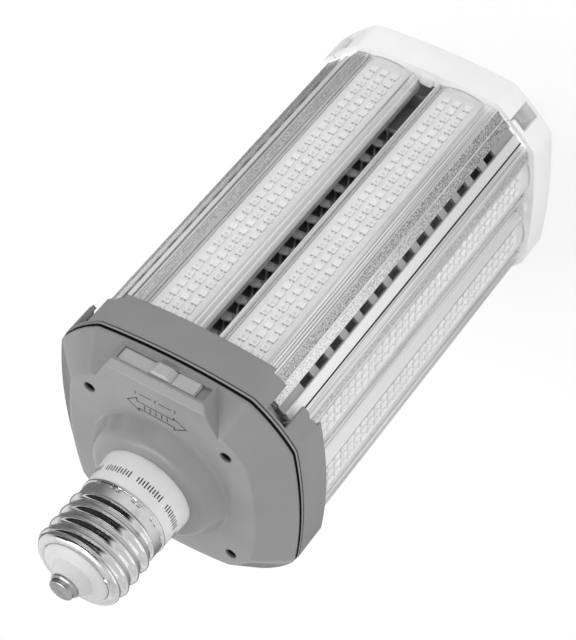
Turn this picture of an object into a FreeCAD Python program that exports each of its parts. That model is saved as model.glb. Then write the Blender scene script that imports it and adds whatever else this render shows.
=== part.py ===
import FreeCAD, Part
import math
import os

# LED lamp with a large screw base, standing on its end cap with the screw base up.
# Z is the lamp's axis, from the outer face of the end cap. Side 0 carries the selector and faces -Y.
# The four sides are alike: a side is drawn facing +Y, u along X and h along Y, and then turned to its place.

V = FreeCAD.Vector
ROOT2 = math.sqrt(2.0)

# Levels along the axis
CAP_HEIGHT = 14.85
BODY_LENGTH = 166.0
SKIRT_HEIGHT = 15.8
LOWER_SEAM = 0.5
RING_BAND = 0.9
UPPER_SEAM = 1.2
RIM_HEIGHT = 0.9
FACET_RISE = 11.7
NECK_RISE = 9.65
COLLAR_HEIGHT = 15.15

# Clearances
SLIP = 0.2
SNUG = 0.1

# Outlines: half width at the ends of a side, bow of the side, half length of a side, bow of the corner
SKIRT_HALF, SKIRT_BOW, SKIRT_SIDE, SKIRT_CORNER = 53.2, 2.56, 34.4, 1.5
COVER_HALF, COVER_BOW, COVER_SIDE, COVER_CORNER = 52.8, 2.56, 34.2, 1.5
PLATEAU_HALF, PLATEAU_BOW, PLATEAU_SIDE, PLATEAU_CORNER = 40.0, 3.0, 29.5, 0.8
CAP_HALF, CAP_BOW, CAP_SIDE, CAP_CORNER = 51.9, 1.8, 33.4, 0.8
CORNER_ROUND = 6.0
PLATEAU_ROUND = 4.0
EDGE_ROUND = 1.4
RIM_ROUND = 0.6

# Wall thicknesses
SKIRT_WALL = 1.8
COVER_WALL = 2.2
CAP_WALL = 1.8
CAP_FLOOR = 2.2
CAP_LEDGE = 2.0
CAP_LEDGE_REACH = 7.0
LEDGE_THICKNESS = 1.8
LEDGE_REACH = 6.0
SEAM_DEPTH = 0.9

# Section of a corner extrusion, on one leg
SLOT_HALF = 3.2
SLOT_FOOT = 42.0
CHANNEL_FLOOR = 46.6
CHANNEL_FROM, CHANNEL_TO = 8.0, 27.0
LIP_SET_BACK = 0.8
GROOVE_SET_BACK = 1.5
GROOVE_LOW, GROOVE_HIGH = 48.3, 49.2
RAIL_TOP = 49.9
RIDGE_END = (33.6, 48.95)
RIDGES = 4
CORNER_RIBS = 3
RIDGE_DEPTH = 0.35
WEB_INNER = 44.8
WEB_THICKNESS = 1.8

# The corner, on the diagonal: r outwards, w across it
SHELF_R = 57.2
SHELF_FROM_W, SHELF_TO_W = -2.0, 1.75
SHELF_STEP = 1.2
CORNER_INNER_R = 55.4

# Vents in the corner shelf
VENT_PITCH = 10.6
VENT_LENGTH = 6.5
VENT_LAST_BELOW_SKIRT = 10.1
VENT_FOOT = 6.0

# Boards with their LEDs, and lenses
BOARD_THICKNESS = 1.0
LED_SIZE = 3.0
LED_HEIGHT = 0.6
LED_COLUMN = 5.0
LED_PITCH = 5.04
LED_FIRST = 20.0
LED_TOP_MARGIN = 5.0
LENS_WALL = 0.9
LENS_CROWN = 2.25

# Plate between the body and the cover
PLATE_DROP = 6.4
PLATE_THICKNESS = 2.0
PLATE_HOLE_R = 17.0
PLATE_CORNER = 54.8

# Core, sleeve and bracket inside the body
CORE_HALF = 31.0
CORE_WALL = 1.2
CORE_WINDOW_WIDTH = 30.0
CORE_WINDOW_LENGTH = 6.2
CORE_PITCH = 10.2
CORE_TOP_MARGIN = 19.25
TAB_OUTLINE = [(-10.2, 0.0), (-6.5, 0.0), (-3.6, 3.6), (-3.2, 5.2), (-5.0, 6.9), (-6.4, 7.1), (-8.6, 3.5)]
TAB_HEIGHT = 7.1
TAB_FOOT = 0.3
TAB_THICKNESS = 0.9
TAB_REACH = 4.0
STRUT_FROM_U, STRUT_TO_U = -8.0, -4.6
STRUT_WIDTH = 1.0
SLEEVE_WALL = 1.0
BRACKET_HEIGHT = 16.8
BRACKET_GAP = 0.3
BRACKET_PLATE = 2.0
BRACKET_WALL = 1.5

# Screws of the cover and of the end cap
COVER_SCREW_AT = 31.2
WELL_R = 2.5
POST_R = 4.6
SCREW_HEAD_R = 2.3
SCREW_HEAD_H = 2.0
SCREW_SHANK_R = 1.5
SCREW_SEAT_ABOVE_PLATE = 4.5
CAP_SCREW_AT = 27.0
CAP_BOSS_R = 4.8
CAP_HEAD_R = 3.2
CAP_HEAD_DEPTH = 2.6

# Cap windows and the tongues at the slots
WINDOW_FROM_W, WINDOW_TO_W = -4.7, 3.4
WINDOW_BOTTOM, WINDOW_TOP = 1.7, 12.6
TONGUE_RISE = 0.9
TONGUE_INNER, TONGUE_OUTER = 46.0, 50.4
TONGUE_ROUND = 1.5

# Skirt corners: raised edge, hooked step and notch
NOTCH_FROM_W, NOTCH_TO_W = -6.9, 3.65
NOTCH_TOP_GAP = 1.0
NOTCH_DEPTH = 9.0
CORNER_STEP = 2.2
HOOK_FROM_W, HOOK_PEAK_W, HOOK_TO_W = 7.0, 8.85, 10.9
HOOK_RISE = 1.2

# Neck of the cover
NECK_BORE_R = 18.0
NECK_TOP_R = 24.0
NECK_SHOULDER_R = 27.6
NECK_SHOULDER_DROP = 2.4
NECK_FOOT_R = 31.0
NECK_FOOT_RISE = 1.0

# White collar under the screw base
COLLAR_R_LOW, COLLAR_R_HIGH = 20.0, 19.0
COLLAR_BORE_R = 15.2
COLLAR_SPIGOT = 7.0

# Screw base, E39 round thread
THREAD_R = 19.65
THREAD_PITCH = 6.35
THREAD_DEPTH = 1.8
THREAD_CRESTS = 4
SHELL_BORE_R = 17.2
SHELL_LIP_R = 19.3
SHELL_LIP = 0.7
SMOOTH_R = 18.7
SMOOTH_HEIGHT = 6.0
BASE_RIM_R = 19.1
BASE_MOUTH_R = 14.8
BASE_RIM_RISE = 1.1
SHELL_WALL = 0.5

# Insulator and contact, stepped up from the mouth of the shell
INSULATOR_DEPTH = 5.0
DOME_R, DOME_RISE = 11.5, 1.6
CONE_R, CONE_RISE = 9.2, 2.2
CONTACT_SEAT_R = 6.6
CONTACT_RISE = 6.6
CONTACT_HEIGHT = 3.35
CONTACT_FLANGE_R = 6.0
CONTACT_FLANGE = 0.9
CONTACT_FACE_R = 5.2
CONTACT_EDGE = 0.8
CONTACT_CAP = 2.5
RIVET_R = 2.2
RIVET_TAIL = 1.0

# Selector platform on side 0
PLATFORM_HALF_FRONT = 21.0
PLATFORM_HALF_BACK = 28.2
PLATFORM_FACE = 54.0
PLATFORM_BEVEL_H = 4.0
PLATFORM_BEVEL_Z = 2.2
RECESS_FROM, RECESS_TO = -19.2, 20.0
RECESS_LOW, RECESS_HIGH = 3.6, 10.0
RECESS_DEPTH = 1.7
SLIDER_LENGTH = 34.8
SLIDER_PLATE = 0.8
BLOCK_FROM, BLOCK_TO = 5.6, 15.4
BLOCK_RISE = 0.75
TAB_BASE_HALF = 5.3
TAB_TOP_HALF = 3.0
TAB_RISE = 2.4
TRAVEL = 4.0
STEM_HALF_U = 2.2
STEM_LOW, STEM_HIGH = 5.3, 8.3
STEM_LENGTH = 4.6

# Slide switch and its board
SWITCH_HALF_U = 9.0
SWITCH_LOW, SWITCH_HIGH = 4.2, 9.4
SWITCH_DEPTH = 5.4
SWITCH_BOARD = 1.6
SWITCH_BOARD_HALF = 15.0

# Driver: heights are from the foot of the board
DRIVER_FOOT = 14.6
DRIVER_HEAD = 6.0
DRIVER_BOARD_THICKNESS = 1.6
TRANSFORMER_AT = 39.0
TRANSFORMER_HALF, TRANSFORMER_DEEP, TRANSFORMER_CORE = 16.0, 22.0, 10.0
WINDING_HALF, WINDING_INSET, WINDING_BEYOND = 13.0, 2.0, 7.0
CAPACITOR_AT = 66.0
CAPACITOR_R, CAPACITOR_LENGTH = 9.0, 32.0
CAPACITOR_U = 11.0
CHOKE_AT = 118.0
CHOKE_R, CHOKE_BORE_R, CHOKE_DEEP, CHOKE_U = 10.0, 4.5, 9.0, -12.0
LEAD_R = 0.8
LEAD_BELOW_HEAD = 8.0
SHELL_LEAD_X = 11.0
LEAD_BEND, LEAD_END = 12.0, 22.0

# Levels worked out from the heights
SKIRT_BOTTOM = CAP_HEIGHT + BODY_LENGTH
SKIRT_TOP = SKIRT_BOTTOM + SKIRT_HEIGHT
RING_LOW = SKIRT_TOP + LOWER_SEAM
RING_HIGH = RING_LOW + RING_BAND
COVER_BOTTOM = RING_HIGH + UPPER_SEAM
RIM_TOP = COVER_BOTTOM + RIM_HEIGHT
PLATEAU = RIM_TOP + FACET_RISE
NECK_TOP = PLATEAU + NECK_RISE
COLLAR_TOP = NECK_TOP + COLLAR_HEIGHT
COVER_ZERO = COVER_BOTTOM - 0.6
PLATE_TOP = SKIRT_TOP - PLATE_DROP
BODY_TOP = PLATE_TOP - PLATE_THICKNESS
FIRST_CREST = COLLAR_TOP + 8.35
LAST_CREST = FIRST_CREST + (THREAD_CRESTS - 1) * THREAD_PITCH
BASE_RIM = LAST_CREST + 2.0
BASE_MOUTH = BASE_RIM + BASE_RIM_RISE
CONTACT_LEVEL = BASE_MOUTH + CONTACT_RISE
CONTACT_TOP = CONTACT_LEVEL + CONTACT_HEIGHT
CORE_BOTTOM = CAP_HEIGHT + BRACKET_HEIGHT
CORE_HIGHEST = BODY_TOP - CORE_TOP_MARGIN
CORE_WINDOWS = int((CORE_HIGHEST - CORE_WINDOW_LENGTH / 2 - CORE_BOTTOM) / CORE_PITCH) + 1
VENT_HIGHEST = SKIRT_BOTTOM - VENT_LAST_BELOW_SKIRT
VENTS = int((VENT_HIGHEST - VENT_LENGTH / 2 - VENT_FOOT - CAP_HEIGHT) / VENT_PITCH) + 1
LED_ROWS = int((BODY_TOP - LED_TOP_MARGIN - LED_FIRST) / LED_PITCH) + 1
RECESS_FLOOR = PLATFORM_FACE - RECESS_DEPTH
RECESS_WALL = 1.5
CLIP_FROM = COVER_SCREW_AT * ROOT2 + POST_R + 0.5
BRACKET_HALF = (CORNER_INNER_R - BRACKET_GAP) / ROOT2
CORNER_REACH = SKIRT_HALF * ROOT2


def turned(shape, degrees):
    """The shape turned about the lamp's axis."""
    copy = shape.copy()
    copy.rotate(V(0, 0, 0), V(0, 0, 1), degrees)
    return copy


def on_side(shape, side):
    """A shape drawn facing +Y, moved to its side: 0 faces -Y, the others follow clockwise."""
    return turned(shape, 180 - 90 * side)


def box(x0, x1, y0, y1, z0, z1):
    return Part.makeBox(x1 - x0, y1 - y0, z1 - z0, V(x0, y0, z0))


def cylinder(radius, x, y, z0, z1):
    return Part.makeCylinder(radius, z1 - z0, V(x, y, z0))


def prism(points, z0, z1):
    """A straight prism over a closed list of (x, y) points."""
    corners = [V(x, y, z0) for x, y in points]
    face = Part.Face(Part.makePolygon(corners + corners[:1]))
    return face.extrude(V(0, 0, z1 - z0))


def revolved(profile):
    """A solid of revolution about Z from (r, z) points; (r, z, r_mid, z_mid) is reached by an arc."""
    edges = []
    last = profile[-1]
    start = V(last[0], 0, last[1])
    for item in profile:
        end = V(item[0], 0, item[1])
        if len(item) == 4:
            edges.append(Part.Arc(start, V(item[2], 0, item[3]), end).toShape())
        else:
            edges.append(Part.makeLine(start, end))
        start = end
    return Part.Face(Part.Wire(edges)).revolve(V(0, 0, 0), V(0, 0, 1), 360)


def inset(outline, distance):
    """The outline moved inwards by a distance, its corners too."""
    half, bow, side, corner = outline
    return half - distance, bow, side - distance * (ROOT2 - 1.0), corner


def bowed_prism(outline, z0, z1, rounding=CORNER_ROUND):
    """A square with bowed sides and bowed corners between them, rounded where they meet, as a prism."""
    half, bow, side, corner = outline
    bulge = (half + side) / 2 + corner / ROOT2
    edges = []
    for turn in range(4):
        a = turned(Part.Vertex(V(-side, half, z0)), -90 * turn).Point
        b = turned(Part.Vertex(V(0, half + bow, z0)), -90 * turn).Point
        c = turned(Part.Vertex(V(side, half, z0)), -90 * turn).Point
        d = turned(Part.Vertex(V(bulge, bulge, z0)), -90 * turn).Point
        e = turned(Part.Vertex(V(half, side, z0)), -90 * turn).Point
        edges.append(Part.Arc(a, b, c).toShape())
        edges.append(Part.Arc(c, d, e).toShape())
    solid = Part.Face(Part.Wire(edges)).extrude(V(0, 0, z1 - z0))
    upright = [e for e in solid.Edges if abs(e.BoundBox.ZLength - (z1 - z0)) < 1e-6]
    return solid.makeFillet(rounding, upright)


def bowed_wire(outline, z, rounding):
    """The closed edge of a bowed outline at one level."""
    solid = bowed_prism(outline, z, z + 1.0, rounding)
    floor = min(solid.Faces, key=lambda f: f.CenterOfMass.z)
    return floor.OuterWire


def bowed_ring(outer, inner, z0, z1):
    return bowed_prism(outer, z0, z1).cut(bowed_prism(inner, z0 - 1, z1 + 1))


def corner_box(r0, r1, w0, w1, z0, z1):
    """A box on the diagonal between +X and +Y: r outwards, w across it towards +X."""
    return turned(box(r0, r1, -w1, -w0, z0, z1), 45)


def corner_profile(points, r0, r1):
    """A prism along the diagonal between +X and +Y over a closed list of (w, z) points."""
    corners = [V(r0, -w, z) for w, z in points]
    face = Part.Face(Part.makePolygon(corners + corners[:1]))
    return turned(face.extrude(V(r1 - r0, 0, 0)), 45)


def corner_point(r, w):
    """(x, y) of a point on the corner between +X and +Y."""
    return (r + w) / ROOT2, (r - w) / ROOT2


def at_corners(shape):
    """The four copies of a shape drawn at the corner between +X and +Y."""
    return [turned(shape, 90 * k) for k in range(4)]


SKIRT = (SKIRT_HALF, SKIRT_BOW, SKIRT_SIDE, SKIRT_CORNER)
COVER = (COVER_HALF, COVER_BOW, COVER_SIDE, COVER_CORNER)
PLATEAU_OUTLINE = (PLATEAU_HALF, PLATEAU_BOW, PLATEAU_SIDE, PLATEAU_CORNER)
CAP = (CAP_HALF, CAP_BOW, CAP_SIDE, CAP_CORNER)


def ridged(u0, h0, u1, h1, count):
    """Fine ridges from the first crest to the last."""
    steps = 2 * count
    points = []
    for i in range(steps + 1):
        t = i / steps
        dip = RIDGE_DEPTH if i % 2 else 0.0
        points.append((u0 + (u1 - u0) * t, h0 + (h1 - h0) * t - dip))
    return points


def leg_points():
    """One leg's outer section from the slot in the middle of the side to the end of its outer rail."""
    low, high = GROOVE_LOW, GROOVE_HIGH
    lip_in, groove_in = CHANNEL_FROM - LIP_SET_BACK, CHANNEL_FROM - GROOVE_SET_BACK
    lip_out, groove_out = CHANNEL_TO + LIP_SET_BACK, CHANNEL_TO + GROOVE_SET_BACK
    points = [(SLOT_HALF, SLOT_FOOT), (SLOT_HALF, 45.3), (4.2, 47.3), (4.7, 47.3), (5.7, RAIL_TOP - 0.3)]
    points += [(6.1, RAIL_TOP), (6.9, RAIL_TOP), (lip_in, high), (groove_in, high), (groove_in, low)]
    points += [(CHANNEL_FROM - 0.5, low), (CHANNEL_FROM, CHANNEL_FLOOR), (CHANNEL_TO, CHANNEL_FLOOR)]
    points += [(CHANNEL_TO + 0.5, low), (groove_out, low), (groove_out, high), (lip_out, high)]
    points += [(lip_out + 0.3, RAIL_TOP)]
    points += ridged(lip_out + 1.1, RAIL_TOP - 0.05, *RIDGE_END, RIDGES)
    return points


def extrusion_section():
    """Section of a corner extrusion as (x, y): one leg along X at +Y, the other along Y at +X."""
    strip = [(33.9, 48.8), (36.4, 46.0), (36.7, 46.1), (37.2, 45.6), (37.1, 45.1)]
    shelf = [corner_point(SHELF_R + SHELF_STEP, SHELF_FROM_W), corner_point(SHELF_R, SHELF_FROM_W)]
    shelf += [corner_point(SHELF_R, SHELF_TO_W)]
    ribs = [(45.2, 36.6), (45.5, 36.0)] + ridged(45.9, 36.4, 48.8, 34.0, CORNER_RIBS)
    other_leg = [(h, u) for u, h in reversed(leg_points())]
    inner_slot = SLOT_HALF + WEB_THICKNESS
    inner_end = CORNER_INNER_R * ROOT2 - WEB_INNER
    inside = [(SLOT_FOOT, inner_slot), (WEB_INNER, inner_slot), (WEB_INNER, inner_end)]
    inside += [(inner_end, WEB_INNER), (inner_slot, WEB_INNER), (inner_slot, SLOT_FOOT)]
    return leg_points() + strip + shelf + ribs + other_leg + inside


def corner_extrusion(number):
    bar = prism(extrusion_section(), CAP_HEIGHT, BODY_TOP)
    vents = []
    for i in range(VENTS):
        low = VENT_HIGHEST - i * VENT_PITCH - VENT_LENGTH / 2
        high = low + VENT_LENGTH
        vents.append(corner_box(CORNER_INNER_R - 1, SHELF_R + 0.5, SHELF_FROM_W, SHELF_TO_W, low, high))
    return on_side(bar.cut(Part.makeCompound(vents)), number)


def led_board(side, sign):
    """Board with three columns of square LEDs soldered on it."""
    face = CHANNEL_FLOOR + BOARD_THICKNESS
    middle = (CHANNEL_FROM + CHANNEL_TO) / 2
    parts = [box(CHANNEL_FROM + SLIP, CHANNEL_TO - SLIP, CHANNEL_FLOOR, face, CAP_HEIGHT, BODY_TOP)]
    for row in range(LED_ROWS):
        low = LED_FIRST + row * LED_PITCH - LED_SIZE / 2
        for column in (-LED_COLUMN, 0, LED_COLUMN):
            left = middle + column - LED_SIZE / 2
            parts.append(box(left, left + LED_SIZE, face, face + LED_HEIGHT, low, low + LED_SIZE))
    board = Part.makeCompound(parts)
    if sign < 0:
        board = board.mirror(V(0, 0, 0), V(1, 0, 0))
    return on_side(board, side)


def lens(side, sign):
    """Arched strip whose edges lie in the grooves of the rails."""
    middle = (CHANNEL_FROM + CHANNEL_TO) / 2
    half = (CHANNEL_TO - CHANNEL_FROM) / 2 + GROOVE_SET_BACK - SNUG
    waist = (CHANNEL_TO - CHANNEL_FROM) / 2 + LIP_SET_BACK - SLIP
    low = GROOVE_LOW + SNUG
    high = GROOVE_HIGH - SNUG
    z = CAP_HEIGHT

    def at(u, h):
        return V(middle + u, h, z)

    crown = high + LENS_CROWN
    outer = Part.Arc(at(-waist, high), at(0, crown), at(waist, high)).toShape()
    inner_half = waist - LENS_WALL
    inner = Part.Arc(at(inner_half, low), at(0, crown - LENS_WALL), at(-inner_half, low)).toShape()
    right = Part.makePolygon([at(waist, high), at(half, high), at(half, low), at(inner_half, low)])
    left = Part.makePolygon([at(-inner_half, low), at(-half, low), at(-half, high), at(-waist, high)])
    section = Part.Wire([outer] + right.Edges + [inner] + left.Edges)
    strip = Part.Face(section).extrude(V(0, 0, BODY_TOP - CAP_HEIGHT))
    if sign < 0:
        strip = strip.mirror(V(0, 0, 0), V(1, 0, 0))
    return on_side(strip, side)


def square_tube(half, wall, z0, z1):
    inner = half - wall
    return box(-half, half, -half, half, z0, z1).cut(box(-inner, inner, -inner, inner, z0 - 1, z1 + 1))


def heat_core():
    """Square tube with a ladder of windows on each side, a tab on each rung and a strut in each window."""
    tube = square_tube(CORE_HALF, CORE_WALL, CORE_BOTTOM, BODY_TOP)
    windows = []
    additions = []
    half = CORE_WINDOW_WIDTH / 2
    for i in range(CORE_WINDOWS):
        low = CORE_HIGHEST - i * CORE_PITCH - CORE_WINDOW_LENGTH / 2
        high = low + CORE_WINDOW_LENGTH
        windows.append(box(-half, half, CORE_HALF - 3, CORE_HALF + 1, low, high))
        additions.append(core_tab(high + TAB_FOOT))
        additions.append(core_strut(low, high))
    for side in range(4):
        tube = tube.cut(on_side(Part.makeCompound(windows), side))
        tube = tube.fuse([on_side(part, side) for part in additions])
    return tube.removeSplitter()


def core_tab(z):
    """Tab that leans out of its rung from level z."""
    face = CORE_HALF - TAB_THICKNESS
    corners = [V(u, face + TAB_REACH * rise / TAB_HEIGHT, z + rise) for u, rise in TAB_OUTLINE]
    return Part.Face(Part.makePolygon(corners + corners[:1])).extrude(V(0, TAB_THICKNESS, 0))


def core_strut(low, high):
    """Diagonal strut across one window, in the plane of the wall."""
    inner = CORE_HALF - CORE_WALL
    corners = [V(STRUT_FROM_U, inner, low), V(STRUT_FROM_U + STRUT_WIDTH, inner, low)]
    corners += [V(STRUT_TO_U + STRUT_WIDTH, inner, high), V(STRUT_TO_U, inner, high)]
    return Part.Face(Part.makePolygon(corners + corners[:1])).extrude(V(0, CORE_WALL, 0))


def driver_sleeve():
    half = CORE_HALF - CORE_WALL - SLIP
    return square_tube(half, SLEEVE_WALL, CORE_BOTTOM, BODY_TOP - 0.5)


def end_bracket():
    """Square foot of the core with a flange for the end cap's screws."""
    foot = square_tube(CORE_HALF, BRACKET_WALL, CAP_HEIGHT, CORE_BOTTOM)
    inner = CORE_HALF - BRACKET_WALL
    reach = BRACKET_HALF
    flange = box(-reach, reach, -reach, reach, CAP_HEIGHT, CAP_HEIGHT + BRACKET_PLATE)
    opening = box(-inner + 8, inner - 8, -inner + 8, inner - 8, CAP_HEIGHT - 1, CORE_BOTTOM)
    foot = foot.fuse(flange).cut(opening)
    hole = cylinder(SCREW_SHANK_R, CAP_SCREW_AT, CAP_SCREW_AT, CAP_HEIGHT - 1, CORE_BOTTOM)
    for cutter in at_corners(hole):
        foot = foot.cut(cutter)
    return foot.removeSplitter()


def end_cap():
    """Moulded cap: floor, wall, ledge under the modules, corner windows, slot tongues and screw bosses."""
    cap = bowed_prism(CAP, 0, CAP_HEIGHT)
    hollow = bowed_prism(inset(CAP, CAP_WALL), CAP_FLOOR, CAP_HEIGHT - CAP_LEDGE, CORNER_ROUND - CAP_WALL)
    mouth = bowed_prism(inset(CAP, CAP_LEDGE_REACH), CAP_FLOOR + 1, CAP_HEIGHT + 1, 2.0)
    cap = cap.cut(hollow).cut(mouth)
    reach = CAP_HALF * ROOT2
    window = corner_box(reach * 0.7, reach, WINDOW_FROM_W, WINDOW_TO_W, WINDOW_BOTTOM, WINDOW_TOP)
    slit = corner_box(reach * 0.7, reach, WINDOW_FROM_W, WINDOW_FROM_W + 1.0, WINDOW_TOP - 1, CAP_HEIGHT + 1)
    for cutter in at_corners(window.fuse(slit)):
        cap = cap.cut(cutter)
    half = SLOT_HALF - SLIP
    tongue = box(-half, half, TONGUE_INNER, TONGUE_OUTER, CAP_HEIGHT - 1, CAP_HEIGHT + TONGUE_RISE)
    tongue = tongue.makeFillet(TONGUE_ROUND, [e for e in tongue.Edges if e.BoundBox.ZLength > TONGUE_RISE])
    for side in range(4):
        cap = cap.fuse(on_side(tongue, side))
    boss = cylinder(CAP_BOSS_R, CAP_SCREW_AT, CAP_SCREW_AT, 0, CAP_HEIGHT)
    bore = cylinder(SCREW_SHANK_R + SLIP, CAP_SCREW_AT, CAP_SCREW_AT, -1, CAP_HEIGHT + 1)
    sink = cylinder(CAP_HEAD_R + SLIP, CAP_SCREW_AT, CAP_SCREW_AT, -1, CAP_HEAD_DEPTH)
    for part in at_corners(boss):
        cap = cap.fuse(part)
    for part in at_corners(bore.fuse(sink)):
        cap = cap.cut(part)
    return cap.removeSplitter()


def cap_screws():
    head = cylinder(CAP_HEAD_R, CAP_SCREW_AT, CAP_SCREW_AT, CAP_HEAD_DEPTH - SCREW_HEAD_H, CAP_HEAD_DEPTH)
    shank = cylinder(SCREW_SHANK_R, CAP_SCREW_AT, CAP_SCREW_AT, CAP_HEAD_DEPTH, CAP_HEIGHT + BRACKET_PLATE)
    return Part.makeCompound(at_corners(head.fuse(shank)))


def front_plate():
    """Plate that closes the body under the cover, with its corners cut back behind the skirt's notches."""
    plate = bowed_prism(inset(SKIRT, SKIRT_WALL + 0.4), BODY_TOP, PLATE_TOP)
    low, high = BODY_TOP - 1, PLATE_TOP + 1
    for cutter in at_corners(corner_box(PLATE_CORNER, CORNER_REACH, -30, 30, low, high)):
        plate = plate.cut(cutter)
    plate = plate.cut(cylinder(PLATE_HOLE_R, 0, 0, low, high))
    for hole in at_corners(cylinder(SCREW_SHANK_R, COVER_SCREW_AT, COVER_SCREW_AT, low, high)):
        plate = plate.cut(hole)
    return plate


def corner_clips():
    """Bent clips on the corners of the plate, in view through the notches."""
    face = PLATE_CORNER - 0.4
    leaf = corner_box(CLIP_FROM, face, -2.0, 2.6, PLATE_TOP, PLATE_TOP + 0.7)
    lug = corner_box(face - 0.7, face, -2.0, 2.6, PLATE_TOP, SKIRT_TOP - NOTCH_TOP_GAP - 0.4)
    slot = corner_box(PLATE_CORNER - 2, PLATE_CORNER, -0.5, 0.8, PLATE_TOP + 0.9, SKIRT_TOP)
    return Part.makeCompound(at_corners(leaf.fuse(lug).cut(slot).removeSplitter()))


def skirt():
    """Wall round the upper end of the body, with a ledge on the plate and a notch at each corner."""
    wall = bowed_ring(SKIRT, inset(SKIRT, SKIRT_WALL), SKIRT_BOTTOM, SKIRT_TOP)
    outer, inner = inset(SKIRT, SKIRT_WALL / 2), inset(SKIRT, LEDGE_REACH)
    ledge = bowed_ring(outer, inner, PLATE_TOP, PLATE_TOP + LEDGE_THICKNESS)
    body = wall.fuse(ledge)
    flat = (SKIRT_HALF - SKIRT_SIDE) / ROOT2
    inner = (SKIRT_HALF + SKIRT_SIDE) / ROOT2 - NOTCH_DEPTH
    edge = SKIRT_BOTTOM + CORNER_STEP
    top = SKIRT_TOP - NOTCH_TOP_GAP
    outline = [(-flat, SKIRT_BOTTOM - 1), (-flat, edge), (NOTCH_FROM_W, edge), (NOTCH_FROM_W, top)]
    outline += [(NOTCH_TO_W, top), (NOTCH_TO_W, edge), (HOOK_FROM_W, edge), (HOOK_PEAK_W, edge + HOOK_RISE)]
    outline += [(HOOK_TO_W, edge), (flat, edge), (flat, SKIRT_BOTTOM - 1)]
    for cutter in at_corners(corner_profile(outline, inner, CORNER_REACH)):
        body = body.cut(cutter)
    return body.removeSplitter()


def seam_ring():
    """Ring between skirt and cover: a thin band in view between two recessed seams."""
    band = bowed_prism(inset(SKIRT, 0.2), RING_LOW, RING_HIGH)
    neck = bowed_prism(inset(COVER, SEAM_DEPTH), SKIRT_TOP, COVER_BOTTOM)
    hole = bowed_prism(inset(COVER, LEDGE_REACH), SKIRT_TOP - 1, COVER_BOTTOM + 1)
    return band.fuse(neck).cut(hole).removeSplitter()


def faceted(rim, top, z0, z1, z2, rounding):
    """Rim wall from z0 to z1, then facets from the rim to the smaller top outline at z2."""
    wall = bowed_prism(rim, z0, z1, rounding)
    lower = bowed_wire(rim, z1, rounding)
    upper = bowed_wire(top, z2, rounding * PLATEAU_ROUND / CORNER_ROUND)
    return wall.fuse(Part.makeLoft([lower, upper], True, True))


def softened(shape, radius, level):
    """The shape with the edges that lie at one level rounded."""
    edges = [e for e in shape.Edges if abs(e.BoundBox.ZMin - level) < 1e-4 and e.BoundBox.ZLength < 1e-4]
    return shape.makeFillet(radius, edges)


def platform(margin):
    """Block that carries the selector, drawn on the +Y side and shrunk by a margin."""
    back = PLATEAU_HALF - 6
    front = PLATFORM_FACE - margin
    slope = (PLATFORM_HALF_BACK - PLATFORM_HALF_FRONT) / (PLATFORM_FACE - PLATEAU_HALF)
    half_front = PLATFORM_HALF_FRONT - margin
    half_back = half_front + slope * (front - back)
    block = prism([(-half_back, back), (half_back, back), (half_front, front), (-half_front, front)],
                  COVER_BOTTOM, PLATEAU - margin)
    top = PLATEAU - margin
    bevel_low = top - PLATFORM_BEVEL_Z
    bevel = [V(-40, front - PLATFORM_BEVEL_H, top), V(-40, front, bevel_low), V(-40, front + 5, bevel_low)]
    bevel += [V(-40, front + 5, PLATEAU + 5), V(-40, front - PLATFORM_BEVEL_H, PLATEAU + 5)]
    wedge = Part.Face(Part.makePolygon(bevel + bevel[:1])).extrude(V(80, 0, 0))
    return block.cut(wedge)


def neck():
    """Flared neck round the base, with a shoulder."""
    shoulder = NECK_TOP - NECK_SHOULDER_DROP
    foot = PLATEAU + NECK_FOOT_RISE
    profile = [(NECK_TOP_R, NECK_TOP), (NECK_SHOULDER_R, shoulder, 26.2, NECK_TOP - 0.9)]
    profile += [(NECK_FOOT_R, foot), (NECK_FOOT_R + 2, PLATEAU - 1), (10, PLATEAU - 1), (10, NECK_TOP)]
    return revolved(profile)


def selector_recess():
    """Space cut out of the platform for the slider, with the slot for its stem."""
    low = COVER_ZERO + RECESS_LOW
    high = COVER_ZERO + RECESS_HIGH
    pocket = box(RECESS_FROM, RECESS_TO, RECESS_FLOOR, PLATFORM_FACE + 5, low, high)
    slot = box(-STEM_HALF_U - SLIP, STEM_HALF_U + TRAVEL + SLIP, RECESS_FLOOR - 10, RECESS_FLOOR + 1,
               COVER_ZERO + STEM_LOW - SLIP, COVER_ZERO + STEM_HIGH + SLIP)
    return pocket.fuse(slot)


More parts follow.
